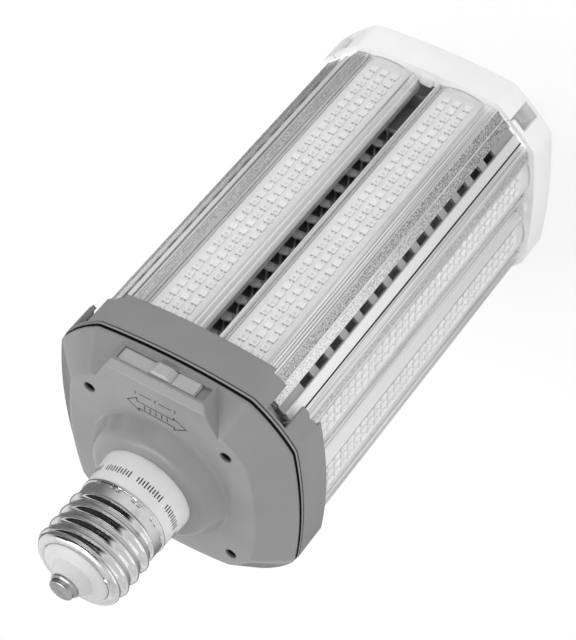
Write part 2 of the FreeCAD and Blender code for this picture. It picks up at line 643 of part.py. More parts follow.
def front_cover():
    """Moulded cover: neck, plateau, facets down to the rim, platform, posts and wells."""
    outer = faceted(COVER, PLATEAU_OUTLINE, COVER_BOTTOM, RIM_TOP, PLATEAU, CORNER_ROUND)
    outer = softened(softened(outer, EDGE_ROUND, PLATEAU), RIM_ROUND, RIM_TOP)
    block = platform(0.0)
    block = block.makeFillet(RIM_ROUND, [e for e in block.Edges if e.BoundBox.YMin > PLATEAU_HALF + 2])
    outer = outer.fuse([on_side(block, 0), neck()])
    rim_inner = inset(COVER, COVER_WALL)
    top_inner = inset(PLATEAU_OUTLINE, COVER_WALL * 0.4)
    hollow = faceted(rim_inner, top_inner, COVER_BOTTOM, RIM_TOP, PLATEAU - COVER_WALL, CORNER_ROUND - 1.0)
    hollow = hollow.fuse(on_side(platform(COVER_WALL), 0))
    body = outer.cut(hollow)
    backing = box(RECESS_FROM - 1.5, RECESS_TO + 1.5, RECESS_FLOOR - RECESS_WALL, PLATFORM_FACE - 1,
                  COVER_BOTTOM, COVER_ZERO + RECESS_HIGH + 1.5)
    body = body.fuse(on_side(backing, 0))
    post = cylinder(POST_R, COVER_SCREW_AT, COVER_SCREW_AT, PLATE_TOP, PLATEAU - 1)
    body = body.fuse(at_corners(post))
    seat = PLATE_TOP + SCREW_SEAT_ABOVE_PLATE
    well = cylinder(WELL_R, COVER_SCREW_AT, COVER_SCREW_AT, seat, PLATEAU + 1)
    bore = cylinder(SCREW_SHANK_R + SLIP, COVER_SCREW_AT, COVER_SCREW_AT, PLATE_TOP - 1, seat + 1)
    for cutter in at_corners(well.fuse(bore)):
        body = body.cut(cutter)
    body = body.cut(cylinder(NECK_BORE_R, 0, 0, COVER_BOTTOM, NECK_TOP + 1))
    return body.cut(on_side(selector_recess(), 0)).removeSplitter()


def cover_screws():
    seat = PLATE_TOP + SCREW_SEAT_ABOVE_PLATE
    head = cylinder(SCREW_HEAD_R, COVER_SCREW_AT, COVER_SCREW_AT, seat, seat + SCREW_HEAD_H)
    shank = cylinder(SCREW_SHANK_R, COVER_SCREW_AT, COVER_SCREW_AT, BODY_TOP, seat)
    return Part.makeCompound(at_corners(head.fuse(shank)))


def upright_rectangle(half, y, low, high):
    """Closed wire of a rectangle that faces +Y."""
    corners = [V(-half, y, low), V(half, y, low), V(half, y, high), V(-half, y, high)]
    return Part.makePolygon(corners + corners[:1])


def selector_slider():
    """Sliding selector: plate, raised block, pyramid finger tab and the stem to the switch."""
    low = COVER_ZERO + RECESS_LOW + SLIP
    high = COVER_ZERO + RECESS_HIGH - SLIP
    start = RECESS_FROM + SLIP
    back = RECESS_FLOOR + SLIP
    face = back + SLIDER_PLATE
    plate = box(start, start + SLIDER_LENGTH, back, face, low, high)
    block = box(BLOCK_FROM, BLOCK_TO, back, face + BLOCK_RISE, low, high)
    tab = Part.makeLoft([upright_rectangle(TAB_BASE_HALF, face, low, high),
                         upright_rectangle(TAB_TOP_HALF, face + TAB_RISE, low + 0.7, high - 0.7)], True, True)
    stem_low, stem_high = COVER_ZERO + STEM_LOW, COVER_ZERO + STEM_HIGH
    stem = box(-STEM_HALF_U, STEM_HALF_U, back - STEM_LENGTH, back, stem_low, stem_high)
    return on_side(plate.fuse([block, tab, stem]).removeSplitter(), 0)


def selector_switch():
    """Slide switch behind the recess, open towards the stem over its travel."""
    front = RECESS_FLOOR - RECESS_WALL - SLIP
    body = box(-SWITCH_HALF_U + TRAVEL / 2, SWITCH_HALF_U + TRAVEL / 2, front - SWITCH_DEPTH, front,
               COVER_ZERO + SWITCH_LOW, COVER_ZERO + SWITCH_HIGH)
    way = box(-STEM_HALF_U - SLIP, STEM_HALF_U + TRAVEL + SLIP, front - SWITCH_DEPTH + 1, front + 1,
              COVER_ZERO + STEM_LOW - SLIP, COVER_ZERO + STEM_HIGH + SLIP)
    return on_side(body.cut(way), 0)


def selector_board():
    """Board that carries the switch, standing in the cover under the plateau."""
    face = RECESS_FLOOR - RECESS_WALL - SLIP - SWITCH_DEPTH
    board = box(-SWITCH_BOARD_HALF + TRAVEL / 2, SWITCH_BOARD_HALF + TRAVEL / 2, face - SWITCH_BOARD, face,
                COVER_BOTTOM, PLATEAU - COVER_WALL)
    return on_side(board, 0)


def base_collar():
    """White ring with a spigot into the neck and one into the screw shell."""
    neck_r = NECK_BORE_R - SNUG
    shell_r = SHELL_BORE_R - SNUG
    neck_spigot = NECK_TOP - COLLAR_SPIGOT
    shell_spigot = COLLAR_TOP + 5.5
    profile = [(COLLAR_BORE_R, neck_spigot), (neck_r, neck_spigot), (neck_r, NECK_TOP)]
    profile += [(COLLAR_R_LOW, NECK_TOP), (COLLAR_R_HIGH, COLLAR_TOP), (shell_r, COLLAR_TOP)]
    profile += [(shell_r, shell_spigot), (COLLAR_BORE_R, shell_spigot)]
    return revolved(profile)


def thread_profile():
    """(r, z) points of the round thread, in short straight steps from the smooth collar to the rim."""
    mean = THREAD_R - THREAD_DEPTH / 2
    steps = 8 * (THREAD_CRESTS - 1) + 4
    points = []
    for i in range(-2, steps - 1):
        angle = 2 * math.pi * i / 8
        points.append((mean + THREAD_DEPTH / 2 * math.cos(angle), FIRST_CREST + THREAD_PITCH * i / 8))
    return points


def screw_shell():
    """Rolled shell: flared lip, smooth collar, round thread and the rim curled in round the insulator."""
    profile = [(SHELL_BORE_R, COLLAR_TOP), (SHELL_LIP_R, COLLAR_TOP), (SHELL_LIP_R, COLLAR_TOP + SHELL_LIP)]
    profile += [(SMOOTH_R, COLLAR_TOP + SHELL_LIP + 0.4), (SMOOTH_R, COLLAR_TOP + SMOOTH_HEIGHT)]
    profile += thread_profile()
    profile.append((BASE_RIM_R - 0.6, BASE_RIM))
    profile.append((BASE_RIM_R - 1.6, BASE_RIM + 0.8, BASE_RIM_R - 0.9, BASE_RIM + 0.6))
    profile += [(BASE_MOUTH_R, BASE_MOUTH), (BASE_MOUTH_R, BASE_MOUTH - SHELL_WALL)]
    profile += [(SHELL_BORE_R, BASE_RIM - SHELL_WALL)]
    return revolved(profile)


def base_insulator():
    """Stepped insulator: disc behind the shell's mouth, dome in front of it, seat for the contact."""
    back = BASE_RIM - INSULATOR_DEPTH
    rim_r = BASE_MOUTH_R - SNUG
    disc_r = SHELL_BORE_R - SNUG
    bore_r = RIVET_R + SNUG
    profile = [(bore_r, back), (disc_r, back), (disc_r, BASE_RIM - SHELL_WALL - SLIP)]
    profile += [(rim_r, BASE_MOUTH - SHELL_WALL - SLIP), (rim_r, BASE_MOUTH + SLIP)]
    profile += [(DOME_R, BASE_MOUTH + DOME_RISE, (rim_r + DOME_R) / 2 + 0.25, BASE_MOUTH + DOME_RISE * 0.75)]
    profile += [(CONE_R, BASE_MOUTH + CONE_RISE), (CONTACT_SEAT_R, CONTACT_LEVEL), (bore_r, CONTACT_LEVEL)]
    return revolved(profile)


def center_contact():
    """Stepped contact button with its hollow rivet through the insulator."""
    back = BASE_RIM - INSULATOR_DEPTH - RIVET_TAIL
    hole = LEAD_R + SNUG
    shoulder = CONTACT_LEVEL + CONTACT_FLANGE
    crown = CONTACT_FACE_R - CONTACT_EDGE
    profile = [(hole, back), (RIVET_R, back), (RIVET_R, CONTACT_LEVEL), (CONTACT_FLANGE_R, CONTACT_LEVEL)]
    profile += [(CONTACT_FLANGE_R, shoulder), (CONTACT_FACE_R, shoulder + 0.5)]
    profile.append((CONTACT_FACE_R, CONTACT_TOP - CONTACT_EDGE))
    profile += [(crown, CONTACT_TOP, CONTACT_FACE_R - 0.2, CONTACT_TOP - 0.2), (0, CONTACT_TOP)]
    profile += [(0, CONTACT_TOP - CONTACT_CAP), (hole, CONTACT_TOP - CONTACT_CAP)]
    return revolved(profile)


DRIVER_HALF = CORE_HALF - CORE_WALL - SLEEVE_WALL - 2 * SLIP
DRIVER_BOTTOM = CORE_BOTTOM + DRIVER_FOOT
DRIVER_TOP = BODY_TOP - DRIVER_HEAD
DRIVER_FACE = -LEAD_R - SNUG


def driver_board():
    back = DRIVER_FACE - DRIVER_BOARD_THICKNESS
    return box(-DRIVER_HALF, DRIVER_HALF, back, DRIVER_FACE, DRIVER_BOTTOM, DRIVER_TOP)


def driver_transformer():
    """Transformer: two ferrite halves round a wound bobbin, as one block standing on the board."""
    z = DRIVER_BOTTOM + TRANSFORMER_AT
    top = z + TRANSFORMER_CORE
    deep = DRIVER_FACE + TRANSFORMER_DEEP
    ferrite = box(-TRANSFORMER_HALF, TRANSFORMER_HALF, DRIVER_FACE, deep, z, top)
    winding = box(-WINDING_HALF, WINDING_HALF, DRIVER_FACE + WINDING_INSET, deep - WINDING_INSET,
                  z - WINDING_BEYOND, top + WINDING_BEYOND)
    return ferrite.fuse(winding).removeSplitter()


def driver_capacitors():
    z = DRIVER_BOTTOM + CAPACITOR_AT
    y = DRIVER_FACE + CAPACITOR_R + SNUG
    high = z + CAPACITOR_LENGTH
    return Part.makeCompound([cylinder(CAPACITOR_R, x, y, z, high) for x in (-CAPACITOR_U, CAPACITOR_U)])


def driver_choke():
    """Toroid choke lying on the board."""
    z = DRIVER_BOTTOM + CHOKE_AT
    ring = Part.makeCylinder(CHOKE_R, CHOKE_DEEP, V(CHOKE_U, DRIVER_FACE, z), V(0, 1, 0))
    bore = Part.makeCylinder(CHOKE_BORE_R, CHOKE_DEEP + 2, V(CHOKE_U, DRIVER_FACE - 1, z), V(0, 1, 0))
    return ring.cut(bore)


def contact_lead():
    return cylinder(LEAD_R, 0, 0, DRIVER_TOP - LEAD_BELOW_HEAD, CONTACT_TOP - CONTACT_CAP - SNUG)


def shell_lead():
    """Lead from the board to the inside of the shell, bent outwards above the collar."""
    reach = SHELL_BORE_R - LEAD_R - SNUG
    points = [V(SHELL_LEAD_X, 0, DRIVER_TOP - LEAD_BELOW_HEAD), V(SHELL_LEAD_X, 0, COLLAR_TOP + 1)]
    points += [V(reach, 0, COLLAR_TOP + LEAD_BEND), V(reach, 0, COLLAR_TOP + LEAD_END)]
    edges = []
    start = points[0]
    for before, corner, after in zip(points, points[1:], points[2:]):
        back = (before - corner).normalize()
        ahead = (after - corner).normalize()
        shorter = min((before - corner).Length, (after - corner).Length)
        tangent = 0.45 * shorter
        first = corner + back * tangent
        last = corner + ahead * tangent
        half_angle = back.getAngle(ahead) / 2
        radius = tangent * math.tan(half_angle)
        centre = corner + (back + ahead).normalize() * (radius / math.sin(half_angle))
        middle = centre + (corner - centre).normalize() * radius
        edges.append(Part.makeLine(start, first))
        edges.append(Part.Arc(first, middle, last).toShape())
        start = last
    edges.append(Part.makeLine(start, points[-1]))
    path = Part.Wire(edges)
    section = Part.Wire([Part.makeCircle(LEAD_R, points[0], V(0, 0, 1))])
    return path.makePipeShell([section], True, False)


def build():
    os.makedirs("parts", exist_ok=True)
    pieces = {
        "screw_shell": screw_shell(),
        "base_insulator": base_insulator(),
        "center_contact": center_contact(),
        "base_collar": base_collar(),
        "front_cover": front_cover(),
        "seam_ring": seam_ring(),
        "skirt": skirt(),
        "front_plate": front_plate(),
        "corner_clips": corner_clips(),
        "cover_screws": cover_screws(),
        "selector_slider": selector_slider(),
        "selector_switch": selector_switch(),
        "selector_board": selector_board(),
        "heat_core": heat_core(),
        "driver_sleeve": driver_sleeve(),
        "end_bracket": end_bracket(),
        "end_cap": end_cap(),
        "cap_screws": cap_screws(),
        "driver_board": driver_board(),
        "driver_transformer": driver_transformer(),
        "driver_capacitors": driver_capacitors(),
        "driver_choke": driver_choke(),
        "contact_lead": contact_lead(),
        "shell_lead": shell_lead(),
    }
    for side in range(4):
        pieces["corner_extrusion_%d" % (side + 1)] = corner_extrusion(side)
        for step, sign in enumerate((-1, 1)):
            number = 2 * side + step + 1
            pieces["led_board_%d" % number] = led_board(side, sign)
            pieces["lens_%d" % number] = lens(side, sign)
    for name, shape in pieces.items():
        if not shape.isValid():
            print("not valid:", name)
        shape.exportStep("parts/%s.step" % name)
        print(name, "solids", len(shape.Solids), "volume", round(shape.Volume, 1))


build()
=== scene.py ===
import logging
import math
from dataclasses import dataclass, field
from enum import Enum
from typing import Any, Iterable, Optional, Sequence, Union

import bpy
from mathutils import Matrix, Vector


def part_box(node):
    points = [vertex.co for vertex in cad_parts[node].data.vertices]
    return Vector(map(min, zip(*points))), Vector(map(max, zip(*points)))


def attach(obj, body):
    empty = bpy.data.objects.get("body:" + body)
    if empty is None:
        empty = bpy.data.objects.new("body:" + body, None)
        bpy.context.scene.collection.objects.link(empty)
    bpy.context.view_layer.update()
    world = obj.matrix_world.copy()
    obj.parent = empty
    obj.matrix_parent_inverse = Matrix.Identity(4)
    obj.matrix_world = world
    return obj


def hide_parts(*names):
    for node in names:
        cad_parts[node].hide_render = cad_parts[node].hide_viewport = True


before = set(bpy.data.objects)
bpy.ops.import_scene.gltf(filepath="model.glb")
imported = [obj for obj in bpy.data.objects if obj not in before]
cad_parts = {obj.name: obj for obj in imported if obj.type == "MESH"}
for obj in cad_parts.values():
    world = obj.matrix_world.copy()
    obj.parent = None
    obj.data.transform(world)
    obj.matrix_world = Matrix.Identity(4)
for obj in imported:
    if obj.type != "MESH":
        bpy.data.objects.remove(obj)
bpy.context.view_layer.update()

log = logging.getLogger("lamp")
MM = 0.001
Point = tuple[float, float, float]
Colour = tuple[float, float, float]
Span = tuple[float, float]
Sockets = dict[Union[str, int], Any]


def grey(level: float) -> Colour:
    """A neutral colour."""
    return (level, level, level)


def shade(colour: Colour, share: float) -> Colour:
    """A colour made darker or lighter, white at most."""
    return tuple(min(1.0, c * share) for c in colour)


def turns(count: int) -> list[float]:
    """Evenly spaced angles, once round."""
    return [2.0 * math.pi * i / count for i in range(count)]


def smooth_step(value: float, low: float, high: float) -> float:
    """0 up to low, 1 from high on, and an even S between them."""
    share = min(1.0, max(0.0, (value - low) / (high - low)))
    return (3.0 - 2.0 * share) * share ** 2


def put(name: str, data: bpy.types.ID) -> bpy.types.Object:
    """Puts new data into the scene as an object."""
    thing = bpy.data.objects.new(name, data)
    bpy.context.scene.collection.objects.link(thing)
    return thing


class Signal:
    """A number that changes over a surface, written as an ordinary expression."""

    def __init__(self, sheet: "NodeSheet", socket: bpy.types.NodeSocket) -> None:
        """Keeps the socket that gives the number, and the sheet that its maths goes on."""
        self.sheet = sheet
        self.socket = socket

    def _math(self, operation: str, *values: Union["Signal", float]) -> "Signal":
        """Adds one Math node.

        Args:
            operation: the Math node's operation.
            values: its inputs in order.

        Returns:
            The node's result.
        """
        node = self.sheet.add("ShaderNodeMath", {"operation": operation}, dict(enumerate(values)))
        return Signal(self.sheet, node.outputs[0])

    def __add__(self, other: Union["Signal", float]) -> "Signal":
        """self + other."""
        return self._math("ADD", self, other)

    __radd__ = __add__

    def __sub__(self, other: Union["Signal", float]) -> "Signal":
        """self - other."""
        return self._math("SUBTRACT", self, other)

    def __rsub__(self, other: Union["Signal", float]) -> "Signal":
        """other - self."""
        return self._math("SUBTRACT", other, self)

    def __mul__(self, other: Union["Signal", float]) -> "Signal":
        """self * other."""
        return self._math("MULTIPLY", self, other)

    __rmul__ = __mul__

    def __truediv__(self, other: Union["Signal", float]) -> "Signal":
        """self / other."""
        return self._math("DIVIDE", self, other)

    def __gt__(self, other: Union["Signal", float]) -> "Signal":
        """1 where self is above other."""
        return self._math("GREATER_THAN", self, other)

    def __lt__(self, other: Union["Signal", float]) -> "Signal":
        """1 where self is below other."""
        return self._math("LESS_THAN", self, other)

    def __abs__(self) -> "Signal":
        """self without its sign."""
        return self._math("ABSOLUTE", self)

    def __mod__(self, other: Union["Signal", float]) -> "Signal":
        """What is left of self after whole steps of other, never negative."""
        return self._math("FLOORED_MODULO", self, other)

    def larger(self, other: Union["Signal", float]) -> "Signal":
        """The larger of two numbers."""
        return self._math("MAXIMUM", self, other)

    def smaller(self, other: Union["Signal", float]) -> "Signal":
        """The smaller of two numbers."""
        return self._math("MINIMUM", self, other)

    def reach(self, other: "Signal") -> "Signal":
        """How far off a place is whose two offsets are self and other."""
        return self._math("SQRT", self * self + other * other)

    def within(self, span_mm: Span) -> "Signal":
        """1 where self, in metres, is between two places in millimetres."""
        return (self > span_mm[0] * MM) * (self < span_mm[1] * MM)

    def ease(self, low: float, high: float, start: float = 0.0, end: float = 1.0) -> "Signal":
        """Takes low..high smoothly to start..end.

        Args:
            low, high: the range read.
            start, end: what its two ends become.

        Returns:
            The eased number.
        """
        sockets = {"Value": self, "From Min": low, "From Max": high, "To Min": start, "To Max": end}
        node = self.sheet.add("ShaderNodeMapRange", {"interpolation_type": "SMOOTHSTEP"}, sockets)
        return Signal(self.sheet, node.outputs[0])


class NodeSheet:
    """The nodes of one material, or of the world."""

    def __init__(self, name: str, world: bool = False) -> None:
        """Starts an empty sheet.

        Args:
            name: the material's or the world's name.
            world: whether it is the world's.
        """
        self.owner = (bpy.data.worlds if world else bpy.data.materials).new(name)
        self.owner.use_nodes = True
        self.nodes = self.owner.node_tree.nodes
        self.links = self.owner.node_tree.links
        self.nodes.clear()

    def add(self, kind: str, settings: Optional[dict[str, Any]] = None,
            sockets: Optional[Sockets] = None) -> bpy.types.Node:
        """Adds any node.

        Args:
            kind: the node's type.
            settings: its properties, set first.
            sockets: values, sockets or signals by input name or number.

        Returns:
            The node.
        """
        node = self.nodes.new(kind)
        for key, value in (settings or {}).items():
            setattr(node, key, value)
        for key, value in (sockets or {}).items():
            target = node.inputs[key]
            source = value.socket if isinstance(value, Signal) else value
            if isinstance(source, bpy.types.NodeSocket):
                self.links.new(source, target)
            elif target.type == "RGBA":
                target.default_value = (*source, 1.0)
            else:
                target.default_value = source
        return node

    def place(self, turn: float = 0.0, stretch: Point = (1.0, 1.0, 1.0)) -> bpy.types.NodeSocket:
        """Coordinates fixed to the object, in metres.

        Args:
            turn: turn about the lamp's axis, in degrees.
            stretch: scale along each axis.

        Returns:
            The vector's socket.
        """
        source = self.add("ShaderNodeTexCoord").outputs["Object"]
        sockets = {"Vector": source, "Rotation": (0.0, 0.0, math.radians(turn)), "Scale": stretch}
        return self.add("ShaderNodeMapping", {"vector_type": "POINT"}, sockets).outputs[0]

    def split(self, vector: bpy.types.NodeSocket) -> tuple[Signal, Signal, Signal]:
        """The three numbers of a vector."""
        node = self.add("ShaderNodeSeparateXYZ", None, {0: vector})
        return tuple(Signal(self, out) for out in node.outputs)

    def noise(self, vector: bpy.types.NodeSocket, size_mm: float, detail: float = 2.0,
              roughness: float = 0.5) -> Signal:
        """Even noise.

        Args:
            vector: coordinates in metres.
            size_mm: size of its patches.
            detail: octaves.
            roughness: strength of the finer octaves.

        Returns:
            The noise, about 0.3 to 0.7.
        """
        sockets = {"Vector": vector, "Scale": 1.0 / (size_mm * MM), "Detail": detail, "Roughness": roughness}
        return Signal(self, self.add("ShaderNodeTexNoise", None, sockets).outputs[0])

    def rays(self) -> tuple[Signal, Signal]:
        """Whether the camera looks, and whether gloss or glass does."""
        path = self.add("ShaderNodeLightPath")
        camera, gloss, glass = (Signal(self, path.outputs[f"Is {kind} Ray"])
                                for kind in ("Camera", "Glossy", "Transmission"))
        return camera, gloss.larger(glass)

    def blend(self, factor: Union[Signal, float], first: Any, second: Any) -> bpy.types.NodeSocket:
        """Mixes two colours.

        Args:
            factor: share of the second.
            first, second: colours or sockets.

        Returns:
            The colour's socket.
        """
        return self.add("ShaderNodeMix", {"data_type": "RGBA"}, {0: factor, 6: first, 7: second}).outputs[2]

    def mottle(self, patches: Signal, colour: Colour, dark: float,
               light: float = 1.0) -> bpy.types.NodeSocket:
        """A colour in two close shades.

        Args:
            patches: noise that says where each shade is.
            colour: the colour.
            dark, light: the two shades, as shares of it.

        Returns:
            The colour's socket.
        """
        return self.blend(patches.ease(0.3, 0.7), shade(colour, dark), shade(colour, light))

    def bump(self, height: Signal, depth_mm: float, strength: float = 1.0,
             normal: Optional[bpy.types.NodeSocket] = None) -> bpy.types.NodeSocket:
        """Relief from a height.

        Args:
            height: 0 to 1.
            depth_mm: what a height of 1 stands for.
            strength: share of it that shows.
            normal: a normal to start from.

        Returns:
            The normal's socket.
        """
        sockets: Sockets = {"Height": height, "Distance": depth_mm * MM, "Strength": strength}
        if normal is not None:
            sockets["Normal"] = normal
        return self.add("ShaderNodeBump", None, sockets).outputs[0]

    def rounded(self, radius_mm: float) -> bpy.types.NodeSocket:
        """Normals of edges broken by a small radius."""
        return self.add("ShaderNodeBevel", {"samples": 4}, {"Radius": radius_mm * MM}).outputs[0]

    def glow(self, colour: Any) -> bpy.types.NodeSocket:
        """A plain glow of a colour or a colour's socket."""
        return self.add("ShaderNodeEmission", None, {"Color": colour}).outputs[0]

    def mix(self, factor: Signal, first: bpy.types.NodeSocket,
            second: bpy.types.NodeSocket) -> bpy.types.NodeSocket:
        """Mixes two shaders by the share of the second."""
        return self.add("ShaderNodeMixShader", None, {0: factor, 1: first, 2: second}).outputs[0]

    def close(self, shader: bpy.types.NodeSocket) -> bpy.types.Material:
        """Links a shader to the output and gives the material."""
        self.add("ShaderNodeOutputMaterial", None, {"Surface": shader})
        return self.owner


@dataclass(frozen=True)
class Finish:
    """A material by its name. Each kind of finish says what its surface is like."""

    name: str

    def skin(self, sheet: NodeSheet, place: bpy.types.NodeSocket) -> Sockets:
        """The surface.

        Args:
            sheet: the material's nodes.
            place: coordinates fixed to the object, in metres.

        Returns:
            What goes into the shader's sockets.
        """
        raise NotImplementedError

    def make(self) -> bpy.types.Material:
        """The material."""
        sheet = NodeSheet(self.name)
        sockets = self.skin(sheet, sheet.place())
        return sheet.close(sheet.add("ShaderNodeBsdfPrincipled", None, sockets).outputs[0])


@dataclass(frozen=True)
class Moulding(Finish):
    """Moulded plastic: slight mottling, a fine skin, broken edges and a few faint scuffs."""

    colour: Colour
    roughness: float = 0.35
    edge_mm: float = 0.4
    grain_mm: float = 0.5
    grain_depth_mm: float = 0.006
    unevenness: float = 0.04
    shine: float = 0.5
    scuffs: float = 0.10
    scuff_gain: float = 0.0

    def skin(self, sheet: NodeSheet, place: bpy.types.NodeSocket) -> Sockets:
        """See Finish.skin."""
        cloud = sheet.noise(place, 22.0, 3.0)
        fine = sheet.noise(place, self.grain_mm, 3.0, 0.6)
        streaks = sheet.noise(sheet.place(31.0, (1.0, 0.12, 0.6)), 3.0, 4.0, 0.7)
        scuff = streaks.ease(0.62, 0.75) * self.scuffs
        plain = sheet.mottle(cloud, self.colour, 1.0 - 1.5 * self.unevenness, 1.0 + self.unevenness)
        worn = shade(self.colour, 1.0 + self.unevenness + self.scuff_gain)
        return {
            "Base Color": sheet.blend(scuff, plain, worn),
            "Roughness": cloud * 0.10 + fine * 0.06 + scuff + (self.roughness - 0.08),
            "IOR": 1.47,
            "Specular IOR Level": self.shine,
            "Normal": sheet.bump(fine, self.grain_depth_mm, 1.0, sheet.rounded(self.edge_mm)),
        }


@dataclass(frozen=True)
class CoverSkin(Moulding):
    """Glossy moulding of the cover, with painted shade: a shade darker on its slopes and dark down in the
    four screw wells.
    """

    colour: Colour = grey(0.262)
    roughness: float = 0.14
    edge_mm: float = 0.9
    grain_mm: float = 0.45
    grain_depth_mm: float = 0.003
    unevenness: float = 0.03
    shine: float = 0.3
    scuff_gain: float = 0.117
    # painted shade on the slopes and down in the screw wells
    slope_shade: Colour = grey(0.215)
    slope_shade_share: float = 0.5
    slope_top_mm: float = 211.5
    well_shade: Colour = grey(0.03)
    well_at_mm: float = 31.2
    well_radius_mm: float = 2.7
    mouth_mm: Span = (210.4, 211.2)

    def skin(self, sheet: NodeSheet, place: bpy.types.NodeSocket) -> Sockets:
        """See Finish.skin."""
        sockets = super().skin(sheet, place)
        x, y, z = sheet.split(place)
        off = (abs(x) - self.well_at_mm * MM).reach(abs(y) - self.well_at_mm * MM)
        below = z.ease(self.mouth_mm[0] * MM, self.mouth_mm[1] * MM, 1.0, 0.0)
        # painted shade: the slopes below the plateau are darker
        slope_shade = (z < self.slope_top_mm * MM) * self.slope_shade_share
        colour = sheet.blend(slope_shade, sockets["Base Color"], self.slope_shade)
        # painted shade: near black down in the screw wells
        sockets["Base Color"] = sheet.blend((off < self.well_radius_mm * MM) * below, colour, self.well_shade)
        return sockets


@dataclass(frozen=True)
class CapSkin(Moulding):
    """White moulding of the end cap, with a painted glow at the corner windows that stands for the light
    inside them.
    """

    colour: Colour = grey(0.909)
    roughness: float = 0.32
    edge_mm: float = 0.5
    grain_depth_mm: float = 0.004
    unevenness: float = 0.0121
    scuffs: float = 0.0
    outside_mm: float = 83.4
    window_mm: float = 13.0
    window_top_mm: float = 20.0
    foot_mm: Span = (1.0, 16.0)
    foot_share: float = 0.35
    # strength of the painted glow in the corner windows
    light: float = 0.38

    def skin(self, sheet: NodeSheet, place: bpy.types.NodeSocket) -> Sockets:
        """See Finish.skin."""
        x, y, z = sheet.split(place)
        wide, deep = abs(x), abs(y)
        window = (wide + deep < self.outside_mm * MM) * (abs(wide - deep) < self.window_mm * MM)
        rise = z.ease(self.foot_mm[0] * MM, self.foot_mm[1] * MM, self.foot_share, 1.0)
        # painted light: the corner windows glow, fainter towards the foot
        window_glow = window * (z < self.window_top_mm * MM) * rise
        sockets = super().skin(sheet, place)
        sockets["Emission Color"] = sheet.blend(window_glow, grey(0.0), grey(1.0))
        sockets["Emission Strength"] = self.light
        return sockets


@dataclass(frozen=True)
class SeamBand(Finish):
    """The ring's moulding: grey on the band in view, and painted shade, near black, in the seams above and
    below it.
    """

    band_mm: Span = (197.15, 198.05)
    colour: Colour = grey(0.27)
    # painted shade in the seams
    seam: Colour = grey(0.012)

    def skin(self, sheet: NodeSheet, place: bpy.types.NodeSocket) -> Sockets:
        """See Finish.skin."""
        z = sheet.split(place)[2]
        fine = sheet.noise(place, 0.45, 3.0, 0.6)
        band = sheet.mottle(fine, self.colour, 0.95)
        return {
            "Base Color": sheet.blend(z.within(self.band_mm), self.seam, band),
            "Roughness": fine * 0.06 + 0.3,
            "Normal": sheet.bump(fine, 0.004),
        }


@dataclass(frozen=True)
class RolledPlate(Finish):
    """Plated sheet rolled round the axis: bright, with faint turning lines and stains in the troughs."""

    colour: Colour = grey(0.70)
    roughness: float = 0.10
    radius_mm: float = 19.65
    trough_mm: float = 1.8

    def skin(self, sheet: NodeSheet, place: bpy.types.NodeSocket) -> Sockets:
        """See Finish.skin."""
        x, y, _ = sheet.split(place)
        depth = (self.radius_mm * MM - x.reach(y)) / (self.trough_mm * MM)
        lines = sheet.noise(sheet.place(0.0, (0.04, 0.04, 1.0)), 0.12, 2.0)
        cloud = sheet.noise(place, 6.0, 4.0, 0.6)
        stain = cloud.ease(0.52, 0.72) * depth.ease(0.2, 0.9)
        return {
            "Base Color": sheet.blend(stain * 0.6, self.colour, shade(self.colour, 0.55)),
            "Metallic": 1.0,
            "Roughness": lines * 0.08 + cloud * 0.10 + stain * 0.25 + (self.roughness - 0.08),
            "Normal": sheet.bump(lines * 0.4 + cloud * 0.6, 0.02, 0.22),
        }


